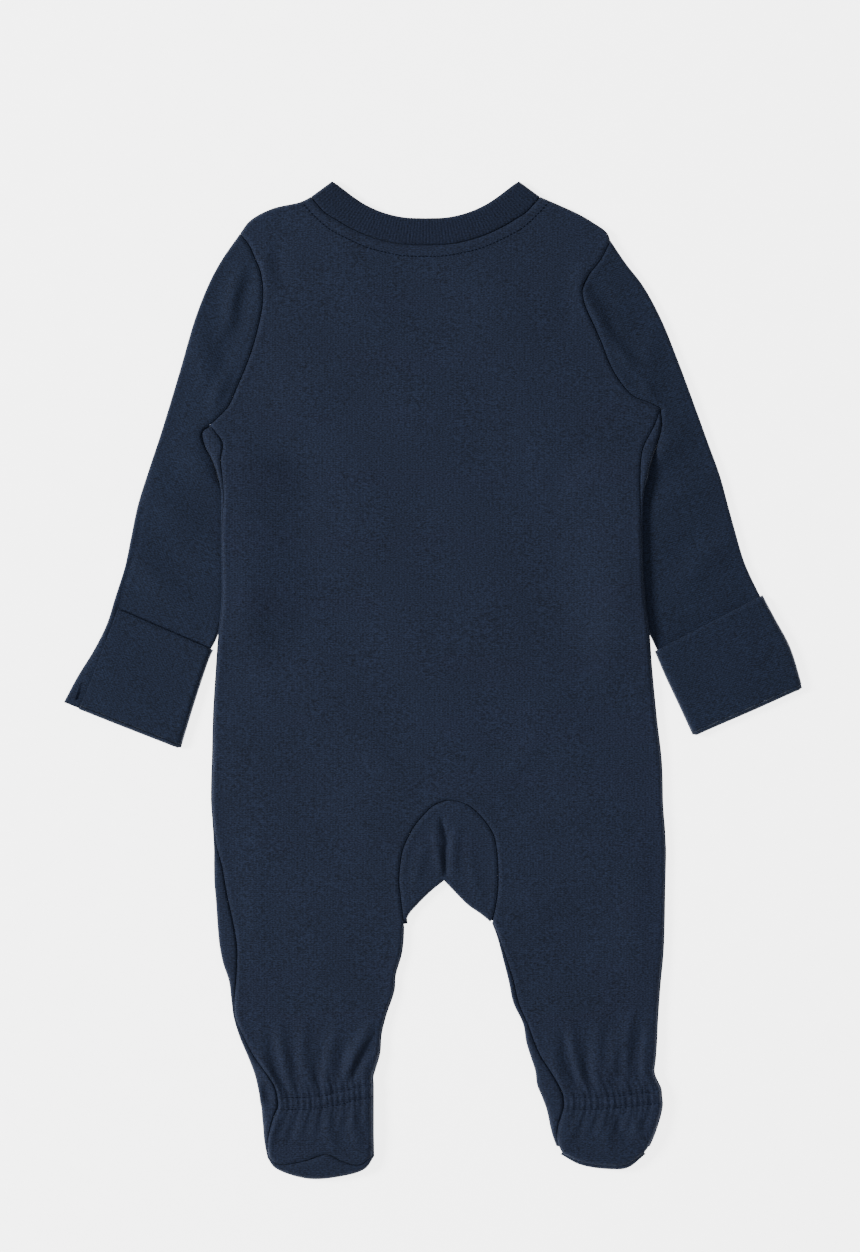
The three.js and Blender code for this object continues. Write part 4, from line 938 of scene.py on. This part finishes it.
def make_back():
    cloth = Cloth(body_folds, body_height, leg_radius)
    outline = joined(*back_parts)
    seams = [part for part in back_parts if part is not back_parts[1] and part is not back_parts[-1]]
    ids = cloth.add(outline, 1, seams=seams)
    cloth.patch(outline, ids, CLOTH_PITCH, fine=ANKLE_PITCH, seams=seams)
    return cloth_object("back_cloth", cloth, body_cotton)


LAP_FOOT, LAP_GROWTH = -55, 12  # where the opening's lap starts, and the height over which it widens


def middle_edge(hand):
    """The front opening's edge from the gusset to the neck"""
    y = np.linspace(GUSSET_TOP[1] + 0.2, NECK["front"][0][1] - GAP, 150)
    lap = PLACKET_OVERLAP / 2 * np.clip((y - LAP_FOOT) / LAP_GROWTH, 0, 1)
    return np.column_stack([middle_x(y) + SIGN[hand] * (lap - GAP / 2), y])


STUD_COUNT, STUD_TOP, STUD_PITCH = 7, 226, 43
STUDS = [(middle_x(y), y) for y in (STUD_TOP - STUD_PITCH * i for i in range(STUD_COUNT))]
STUD_RADIUS = 4.5
STUD_DIMPLE, DIMPLE_SLOPE = 0.45, 2.5


def stud_dimples(x, y):
    """The cloth underneath is drawn in a little round each press stud"""
    lift = np.zeros_like(x)
    for sx, sy in STUDS:
        gap = np.hypot(x - sx, y - sy)
        lift = np.maximum(lift, STUD_DIMPLE * (1 - smooth((gap - STUD_RADIUS) / DIMPLE_SLOPE)))
    return lift


def front_height(hand):
    """The body's height, with the dimples of the studs and the lap's lift underneath"""
    def height(x, y, side, distance):
        lift = body_height(x, y, side, distance)
        if side < 0:
            lift = lift + stud_dimples(x, y)
            if hand == "left":
                lift = lift + placket_raise(x, y)
        return lift
    return height


# Hollows of the front's turned edge at the ends of the elastics
HOLLOWS = [(-94, -227, -92.5, -236, 2.8, -2.4), (56.5, -216, 61, -234, 2.6, -2)]


def wrap_height(x, y, _side, distance):
    """Height of the front's cloth where it has turned onto the back"""
    creases = crease_height(BODY_CREASES, x, y) + crease_height(ANKLE_CREASES, x, y)
    folds = np.maximum(creases + undulation(x, y), DEEPEST) + crease_height(HOLLOWS, x, y)
    return side_lift(y, distance) + smooth(distance / 5) * folds


def make_front(hand):
    cloth = Cloth(body_folds, front_height(hand), leg_radius)
    side, inner_leg = sides[hand], inner_legs[hand]
    fold = np.vstack([side[:, :2], toes[hand]["fold"], inner_leg[::-1, :2]])
    seam = np.vstack([seam_of(side, -GAP / 2), toe_seams_front[hand], seam_of(inner_leg, -GAP / 2)[::-1]])
    apart = np.concatenate([[True], np.hypot(*np.diff(fold, axis=0).T) > LEAST_STEP])
    fold, seam = fold[apart], seam[apart]
    shoulder = shoulder_folds[hand][::-1]
    top = int(np.argmax(body_arch[:, 1]))
    arch_part = body_arch[:top] if hand == "left" else body_arch[top + 1:][::-1]
    neck = neck_line("front", hand, "seam", GAP / 2)
    before = joined(neck, shoulder[:-1])
    hole = body_armholes[hand][:-1]
    after = joined(arch_part, middle_edge(hand))[1:-1]
    outline = np.vstack([before, hole, fold, after])
    seams = [neck, body_armholes[hand], arch_part]
    ids = cloth.add(outline, -1, seams=seams)
    cloth.patch(outline, ids, CLOTH_PITCH * 1.25, side=-1, fine=ANKLE_PITCH * 1.6, seams=seams)

    # Over the folds to the seams on the back
    def turned(row, lines, **more):
        for line in lines:
            fresh = cloth.add(line, 1, height=wrap_height, **more)
            cloth.strip(row, fresh, flip=hand == "left")
            row = fresh

    first = len(before) + len(hole)
    shares = (0.05, 0.13, 0.25, 0.42, 0.65, 0.85, 1)
    turned(ids[first:first + len(fold)], [mix(fold, seam, share) for share in shares], seams=[seam])
    top_part = slice(len(before) - len(joined(shoulder[:-1])), len(before))
    points = outline[top_part]
    inward = moved(points, SIGN[hand]) - points
    turned(ids[top_part], [points + inward * share for share in (0.15, 0.45)])
    return cloth_object(f"front_{hand}_cloth", cloth, body_cotton)


GUSSET_CREASES = [
    (5, -76, 8.6, -92, 1.2, -1.6),
    (8.4, -84, 7.6, -114, 1.3, -1.9),
    (1.5, -80, 5.2, -108, 2.4, 1.1),
    (13.5, -82, 12, -110, 2.8, 0.9),
    (20, -88, 26, -122, 3.4, 0.5),
    (-4, -90, -10, -120, 3, 0.6),
]
GUSSET_DEEPEST = -1.4


def gusset_height(x, y, side, distance):
    inward = smooth(distance / 4)
    if side < 0:
        return inward * np.maximum(0, 0.5 * undulation(x, y))
    creases = crease_height(GUSSET_CREASES, x, y) + 0.4 * undulation(x, y)
    return inward * np.maximum(creases, GUSSET_DEEPEST)


def make_gusset():
    cloth = Cloth(body_folds, gusset_height)
    corners = np.array([GUSSET_CORNER["left"], GUSSET_CORNER["right"]], dtype=float)
    arch_line = gusset_arch[3:-3]
    fold = crotch[2:-2][::-1]
    corner_ids = cloth.add(corners)
    fold_ids = cloth.add(fold)
    for side in (1, -1):
        arch_ids = cloth.add(arch_line, side, seams=[gusset_arch])
        outline = np.vstack([corners[:1], arch_line, corners[1:], fold])
        ids = np.concatenate([corner_ids[:1], arch_ids, corner_ids[1:], fold_ids])
        cloth.patch(outline, ids, 1.4, side=side, seams=[gusset_arch])
    return cloth_object("gusset_cloth", cloth, body_cotton)


TOUCH = 0.06  # how far a sleeve's fold presses against the body's under the arm
TUCK, TUCK_TOP = 0.3, 131  # how much further it goes under the body's lifted side, and from which height
SNUG_FOOT, SNUG_REACH = 113, 3
sleeve_edges = {
    hand: {
        "outer": curve([SHOULDER_POINT[hand], *SLEEVE_FOLD[hand]["outer"]]),
        "inner": curve([ARMHOLE[hand][-1], *SLEEVE_FOLD[hand]["inner"]]),
    }
    for hand in HANDS
}


def snug(line, side):
    """A sleeve's inner fold, drawn up to the body's side under the arm"""
    distance, inward = nearest([side], line)
    tuck = TOUCH + TUCK * smooth((TUCK_TOP - line[:, 1]) / 6)
    reach = (distance + tuck) * smooth((line[:, 1] - SNUG_FOOT) / 5) * (distance < SNUG_REACH)
    return line + inward * reach[:, None]


for hand in HANDS:
    sleeve_edges[hand]["inner"] = snug(sleeve_edges[hand]["inner"], sides[hand][::SIGN[hand], :2])
sleeve_folds = {
    "left": [sleeve_edges["left"]["outer"], sleeve_edges["left"]["inner"][::-1]],
    "right": [sleeve_edges["right"]["outer"][::-1], sleeve_edges["right"]["inner"]],
}
# The left sleeve's seam, which shows near its outer fold
SLEEVE_SEAM = curve([
    (-162.4, 95.8), (-166.9, 73.9), (-172.5, 54.9), (-176.1, 40.3),
    (-181.4, 25.8), (-187, 11.2), (-192.6, -3.4), (-198.2, -15.7),
])


def sleeve_radius(hand):
    """The roll round a sleeve's folds, as wide as the body's at the armhole"""
    def radius(x, y):
        gap = nearest([sleeve_armholes[hand]], np.column_stack([x, y]))[0]
        return mix(BODY_RADIUS, SLEEVE_RADIUS, smooth(gap / 30))
    return radius


CUFF_ROLL = 2.3  # how far a sleeve ends inside the mitt that rolls round it
MITT_REACH = {"left": 59.5, "right": 99}  # stretch of the cuff from its inner corner that the mitt covers


def make_sleeve(hand):
    cloth = Cloth(sleeve_folds[hand], sleeve_height(hand), sleeve_radius(hand))
    outer, inner = sleeve_edges[hand]["outer"], sleeve_edges[hand]["inner"]
    cuff = resampled(np.array([inner[-1], outer[-1]]), 1.5)[1:-1]
    back_along = np.array([cuff[0][1] - cuff[-1][1], cuff[-1][0] - cuff[0][0]])
    back_along /= np.hypot(*back_along) * (1 if back_along[1] > 0 else -1)
    covered = np.hypot(*(cuff - inner[-1]).T) < MITT_REACH[hand]
    cuff = cuff + back_along * (CUFF_ROLL * covered)[:, None]
    hole = sleeve_armholes[hand][1:-1]
    outer_ids = cloth.add(outer)
    inner_ids = cloth.add(inner)
    for side in (1, -1):
        seams = [sleeve_armholes[hand]] + ([SLEEVE_SEAM] if hand == "left" and side > 0 else [])
        hole_ids = cloth.add(hole, side, seams=seams)
        cuff_ids = cloth.add(cuff, side)
        outline = np.vstack([outer[:1], hole, inner, cuff, outer[1:][::-1]])
        ids = np.concatenate([outer_ids[:1], hole_ids, inner_ids, cuff_ids, outer_ids[1:][::-1]])
        cloth.patch(outline, ids, CLOTH_PITCH, side=side, seams=seams)
    return cloth_object(f"sleeve_{hand}_cloth", cloth, sleeve_cotton[hand])


def cut(line, places):
    """The stretch of a line between the points nearest to the first and the last of some places"""
    i, j = (int(np.hypot(*(line - np.array(place)).T).argmin()) for place in (places[0], places[-1]))
    return line[i:j + 1]


def make_mitt(hand):
    edges = MITT_EDGE[hand]
    height = sleeve_height(hand, dip=0)
    cloth = Cloth(sleeve_folds[hand], height, lambda x, y: np.full(len(x), SLEEVE_RADIUS))
    inner = cut(sleeve_edges[hand]["inner"], edges["inner"])
    outer = curve(edges["outer"]) if hand == "left" else cut(sleeve_edges[hand]["outer"], edges["outer"])
    mouth = resampled(np.array([outer[0], inner[0]]), 1.5)[1:-1]
    cuff = resampled(np.array([inner[-1], outer[-1]]), 1.2)
    across = (cuff[-1] - cuff[0]) / np.hypot(*(cuff[-1] - cuff[0]))
    away = np.array([across[1], -across[0]])
    away *= 1 if away @ (cuff.mean(0) - mouth.mean(0)) > 0 else -1
    cuff = cuff - away * CUFF_ROLL
    inner, outer = (line[(line - cuff[0]) @ away < -0.4] for line in (inner, outer))
    outline = np.vstack([outer[:1], mouth, inner, cuff, outer[1:][::-1]])
    seams = [np.vstack([outer[:1], mouth, inner[:1]])]
    ids = cloth.add(outline, seams=seams, depth=-(WALL + GAP))
    cloth.patch(outline, ids, 2, seams=seams, depth=-(WALL + GAP))

    # Rolled round the sleeve's end
    start = 1 + len(mouth) + len(inner)
    row = ids[start:start + len(cuff)]
    top = np.vstack(cloth.outer)[row]
    radius = (top[:, 2] - 0.1) / 2
    for angle in np.radians([65, 40, 15, -10, -35, -60, -80]):
        for store, r in ((cloth.outer, radius), (cloth.inner, np.maximum(radius - WALL, 0.15))):
            place = top[:, :2] + away * (r * math.cos(angle))[:, None]
            store.append(np.column_stack([place, top[:, 2] - radius + r * math.sin(angle)]))
        fresh = np.arange(cloth.count, cloth.count + len(cuff))
        cloth.count += len(cuff)
        cloth.strip(row, fresh, flip=hand == "right")
        row = fresh
    return cloth_object(f"mitt_{hand}_cloth", cloth, sleeve_cotton[hand])


RIB_PITCH, RIB_HEIGHT = 1.75, 0.11
BAND_COLUMNS = 150
BAND_SHARES = (0, 0.04, 0.1, 0.2, 0.32, 0.45, 0.58, 0.7, 0.82, 0.9, 0.95, 0.98, 1)


def make_neckband():
    tips = {}
    for hand in HANDS:
        seam, edge = neck_line("back", hand, "seam", -GAP / 2), neck_line("back", hand, "edge")
        tips[hand] = np.array([seam[-1], edge[-1]])
    folds = [tips["left"][::-1], tips["right"]]
    cloth = Cloth(folds)

    def rows(face, hands):
        """Rows from the seam to the free edge with the height of the ribs on each"""
        lines = []
        for key, offset in (("seam", -GAP / 2), ("edge", 0)):
            parts = [resampled(neck_line(face, hand, key, offset), count=BAND_COLUMNS) for hand in hands]
            lines.append(np.vstack([parts[0][::-1], parts[1][1:]]) if len(parts) > 1 else parts[0])
        seam, edge = lines
        reach = lengths(mix(seam, edge, 0.5))
        rib = RIB_HEIGHT * np.cos(2 * math.pi * reach / RIB_PITCH)
        for share in BAND_SHARES:
            rounded = -0.55 * (1 - smooth(share / 0.07)) - 0.75 * (1 - smooth((1 - share) / 0.09))
            yield mix(seam, edge, share), rib * smooth(share / 0.05) * smooth((1 - share) / 0.06) + rounded

    def lay(points, extra, side, raised=0.0):
        ids = cloth.add(points, side)
        outward = smooth(nearest(folds, points)[0] / 2.5)
        lift = side * extra * outward + raised
        if side < 0:
            lift = np.maximum(lift, 0)
        cloth.outer[-1][:, 2] += lift
        cloth.inner[-1][:, 2] += lift
        return ids

    tops = [lay(points, extra, 1) for points, extra in rows("back", HANDS)]
    for first, second in zip(tops, tops[1:]):
        cloth.strip(first, second, flip=True)
    for hand, column in (("left", 0), ("right", -1)):
        under = []
        for i, (points, extra) in enumerate(rows("front", (hand,))):
            raised = placket_raise(*points[:-1].T) if hand == "left" else 0.0
            ids = lay(points[:-1], extra[:-1], -1, raised)
            under.append(np.concatenate([ids, [tops[i][column]]]))
        for first, second in zip(under, under[1:]):
            cloth.strip(first, second, flip=hand == "right")
    return cloth_object("neckband_rib", cloth, rib_cotton)


# Sewing

def tube_faces(base, rings, sides_round):
    """Quads round a tube whose rings of points start at base"""
    faces = []
    for start in range(base, base + (rings - 1) * sides_round, sides_round):
        for k in range(sides_round):
            a, b = start + k, start + (k + 1) % sides_round
            faces.append((a, b, b + sides_round, a + sides_round))
    return faces


STITCH_RINGS = [(-0.5, 0.35), (-0.38, 0.85), (0, 1), (0.38, 0.85), (0.5, 0.35)]
STITCH_SIDES = 6


def stitches(name, seats, length, width):
    """Small raised stitches. A seat is x, y, z and the stitch's direction in plan."""
    points, faces = [], []
    for x, y, z, dx, dy in seats:
        size = math.hypot(dx, dy)
        dx, dy = dx / size, dy / size
        base = len(points)
        for share, thick in STITCH_RINGS:
            along = share * length
            for angle in np.linspace(0, 2 * math.pi, STITCH_SIDES, endpoint=False):
                across = math.cos(angle) * width / 2 * thick
                up = math.sin(angle) * width / 2 * thick
                points.append((x + dx * along - dy * across, y + dy * along + dx * across, z + up))
        faces += tube_faces(base, len(STITCH_RINGS), STITCH_SIDES)
        faces.append(tuple(range(base + STITCH_SIDES - 1, base - 1, -1)))
        faces.append(tuple(range(len(points) - STITCH_SIDES, len(points))))
    return mesh_object(name, points, faces, thread)


def seats_along(line, pitch, height_at):
    """Stitch seats every pitch along a line, on the cloth's surface"""
    dense = resampled(line, pitch)
    ahead = np.gradient(dense, axis=0)
    return [(*p, z, *d) for p, z, d in zip(dense, height_at(dense), ahead)]


def back_surface(points):
    x, y = points.T
    distance = nearest(body_folds, points)[0]
    radius = leg_radius(x, y)
    upward = np.sqrt(1 - (1 - np.minimum(distance / radius, 1)) ** 2)
    return radius * (1 + upward) + body_height(x, y, 1, distance)


def under_surface(points):
    x, y = points.T
    distance = nearest(body_folds, points)[0]
    return body_height(x, y, -1, distance)


back = make_back()
fronts = {hand: make_front(hand) for hand in HANDS}
gusset = make_gusset()
sleeves = {hand: make_sleeve(hand) for hand in HANDS}
mitts = {hand: make_mitt(hand) for hand in HANDS}
neckband = make_neckband()

TOPSTITCH_MIDDLE = -4.5
half_row = [(-73.4, 267.7), (-71.1, 264.9), (-65, 258.7), (-59.4, 253.7), (-53.2, 250), (-44.2, 245.6),
            (-35.3, 241.9), (-26.3, 239.7), (-17.4, 238), (TOPSTITCH_MIDDLE, 237.4)]
topstitch = curve(half_row + [(2 * TOPSTITCH_MIDDLE - x, y) for x, y in half_row[-2::-1]])
neck_seats = seats_along(topstitch, 2.15, lambda p: back_surface(p) + 0.06)
neck_stitches = stitches("neck_stitches", neck_seats, length=1.45, width=0.55)

band_seats = []
for leg, points in BANDS.items():
    span = curve(points)
    share = leg_share(*span.T, leg)
    span = span[(share > 0.015) & (share < 0.985)]
    for offset in (BAND_HALF, -BAND_HALF):
        band_seats += seats_along(moved(span, offset), 2.1, lambda p: back_surface(p) + 0.05)
band_stitches = stitches("ankle_stitches", band_seats, length=1.35, width=0.45)

tack = np.array([(-196.6, -1.2), (-199.4, -10.2)])
tack_seats = seats_along(tack, 0.62, lambda p: np.full(len(p), 2 * SLEEVE_RADIUS + 0.02))
tack_seats = [(x, y, z, 1, 0.35) for x, y, z, _, _ in tack_seats]
cuff_tack = stitches("cuff_tack", tack_seats, length=2.1, width=0.4)

PLACKET_ROW, PLACKET_ROW_FOOT = 13.2, -40  # from the opening's edge underneath, and the row's lower end
placket_row = middle_edge("right")
placket_row = placket_row[placket_row[:, 1] > PLACKET_ROW_FOOT] + np.array([PLACKET_ROW, 0])
placket_seats = seats_along(placket_row, 2.3, lambda p: under_surface(p) + 0.12)
placket_stitches = stitches("placket_stitches", placket_seats, length=1.6, width=0.3)


def make_studs():
    """Round caps underneath with a rolled rim, and their posts through the laps"""
    profile = [(0, 0.12), (2.2, 0.05), (3.1, 0.0), (4.1, 0.04), (4.42, 0.22), (STUD_RADIUS, 0.5),
               (STUD_RADIUS, 2.4), (4.3, 2.66), (3.0, 2.7), (2.6, 2.3), (1.2, 2.2), (0, 2.2)]
    sides_round = 40
    points, faces = [], []
    for sx, sy in STUDS:
        faces += tube_faces(len(points), len(profile), sides_round)
        for r, z in profile:
            for k in range(sides_round):
                angle = 2 * math.pi * k / sides_round
                points.append((sx + r * math.cos(angle), sy + r * math.sin(angle), z))
    return mesh_object("press_studs", points, faces, enamel)


studs = make_studs()


def make_allowances():
    """Overlocked seam allowances inside, under the seams of the back and over those of the front"""
    ribbons = [(line, z) for line in (*armholes.values(), arch) for z in (2.55, 1.75)]
    ribbons.append((whole_neck(), 2.1))
    ribbons += [(neck_line("front", hand, "seam")[8:], 2.1) for hand in HANDS]
    points, faces = [], []
    for line, z in ribbons:
        line = resampled(line, 1.6)[1:-1]
        base, n = len(points), len(line)
        for height in (z - 0.15, z + 0.15):
            for offset in (2.1, -2.1):
                points += [(x, y, height) for x, y in moved(line, offset)]
        for i in range(n - 1):
            a, b, c, d = base + i, base + n + i, base + 2 * n + i, base + 3 * n + i
            faces += [(a, b, b + 1, a + 1), (c, c + 1, d + 1, d), (a, a + 1, c + 1, c), (b, d, d + 1, b + 1)]
        for i in (0, n - 1):
            faces.append((base + i, base + 2 * n + i, base + 3 * n + i, base + n + i))
    return mesh_object("seam_allowances", points, faces, rib_cotton)


allowances = make_allowances()

for piece, nodes, slot in (
    (back, ("back",), "cotton"),
    (fronts["left"], ("front_left",), "cotton"),
    (fronts["right"], ("front_right",), "cotton"),
    (gusset, ("gusset",), "cotton"),
    (sleeves["left"], ("sleeve_left",), "cotton"),
    (sleeves["right"], ("sleeve_right",), "cotton"),
    (mitts["left"], ("mitt_left",), "cotton"),
    (mitts["right"], ("mitt_right",), "cotton"),
    (neckband, ("neckband",), "rib"),
    (studs, tuple(f"stud_{i + 1}" for i in range(STUD_COUNT)), "stud"),
    (neck_stitches, (), "cotton"),
    (band_stitches, (), "cotton"),
    (cuff_tack, (), "cotton"),
    (placket_stitches, (), "cotton"),
    (allowances, (), "cotton"),
):
    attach(piece, "root")
    if nodes:
        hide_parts(*nodes)

for hand in HANDS:
    for material_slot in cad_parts[f"elastic_{hand}"].material_slots:
        material_slot.material = elastic_web


# The place where it lies

def area_light(name, place, size, watts):
    """A round lamp that points at the garment's middle"""
    data = bpy.data.lights.new(name, "AREA")
    data.shape = "DISK"
    data.size = size
    data.energy = watts
    light = bpy.data.objects.new(name, data)
    light.location = place
    light.rotation_euler = (-Vector(place)).to_track_quat("-Z", "Y").to_euler()
    bpy.context.scene.collection.objects.link(light)


floor_material = plain("floor_paper", (0.9, 0.9, 0.9), 0.95, 60.0, 0.00005, specular=0.05)
floor_glow = floor_material.node_tree.nodes["Principled BSDF"]
floor_glow.inputs["Emission Color"].default_value = (1, 1, 1, 1)
floor_glow.inputs["Emission Strength"].default_value = 3.6
floor_mesh = bpy.data.meshes.new("floor")
FLOOR_HALF = 6.0
floor_corners = [(x * FLOOR_HALF, y * FLOOR_HALF, 0) for x, y in ((-1, -1), (1, -1), (1, 1), (-1, 1))]
floor_mesh.from_pydata(floor_corners, [], [(0, 1, 2, 3)])
floor_mesh.materials.append(floor_material)
floor = bpy.data.objects.new("floor", floor_mesh)
floor.location = (0, 0, -0.0001)
bpy.context.scene.collection.objects.link(floor)
floor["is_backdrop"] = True

area_light("key", (-2.75, 0.5, 1.75), 1.0, 240)
area_light("fill", (1.6, -1.0, 2.4), 2.0, 22)
world = bpy.data.worlds.new("studio")
world.use_nodes = True
world.node_tree.nodes["Background"].inputs["Color"].default_value = (1, 1, 1, 1)
world.node_tree.nodes["Background"].inputs["Strength"].default_value = 0.64
bpy.context.scene.world = world

PHOTO_PITCH = 0.00056  # metres of floor in one pixel
PHOTO_SIZE = (860, 1252)
PHOTO_ORIGIN = (433, 681)  # the pixel at the zero of the tables
CAMERA_HEIGHT = 2.4
camera_data = bpy.data.cameras.new("camera")
camera_data.sensor_fit = "VERTICAL"
camera_data.sensor_height = 36
camera_data.lens = camera_data.sensor_height * CAMERA_HEIGHT / (PHOTO_SIZE[1] * PHOTO_PITCH)
camera = bpy.data.objects.new("camera", camera_data)
camera.location = (
    (PHOTO_SIZE[0] / 2 - PHOTO_ORIGIN[0]) * PHOTO_PITCH - ORIGIN[0] / 1000,
    (PHOTO_ORIGIN[1] - PHOTO_SIZE[1] / 2) * PHOTO_PITCH - ORIGIN[1] / 1000,
    CAMERA_HEIGHT,
)
bpy.context.scene.collection.objects.link(camera)
bpy.context.scene.camera = camera

boxes = {"cad": cad_bounds, "visual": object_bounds()}
{key: [[float(v) for v in corner] for corner in box] for key, box in boxes.items()}
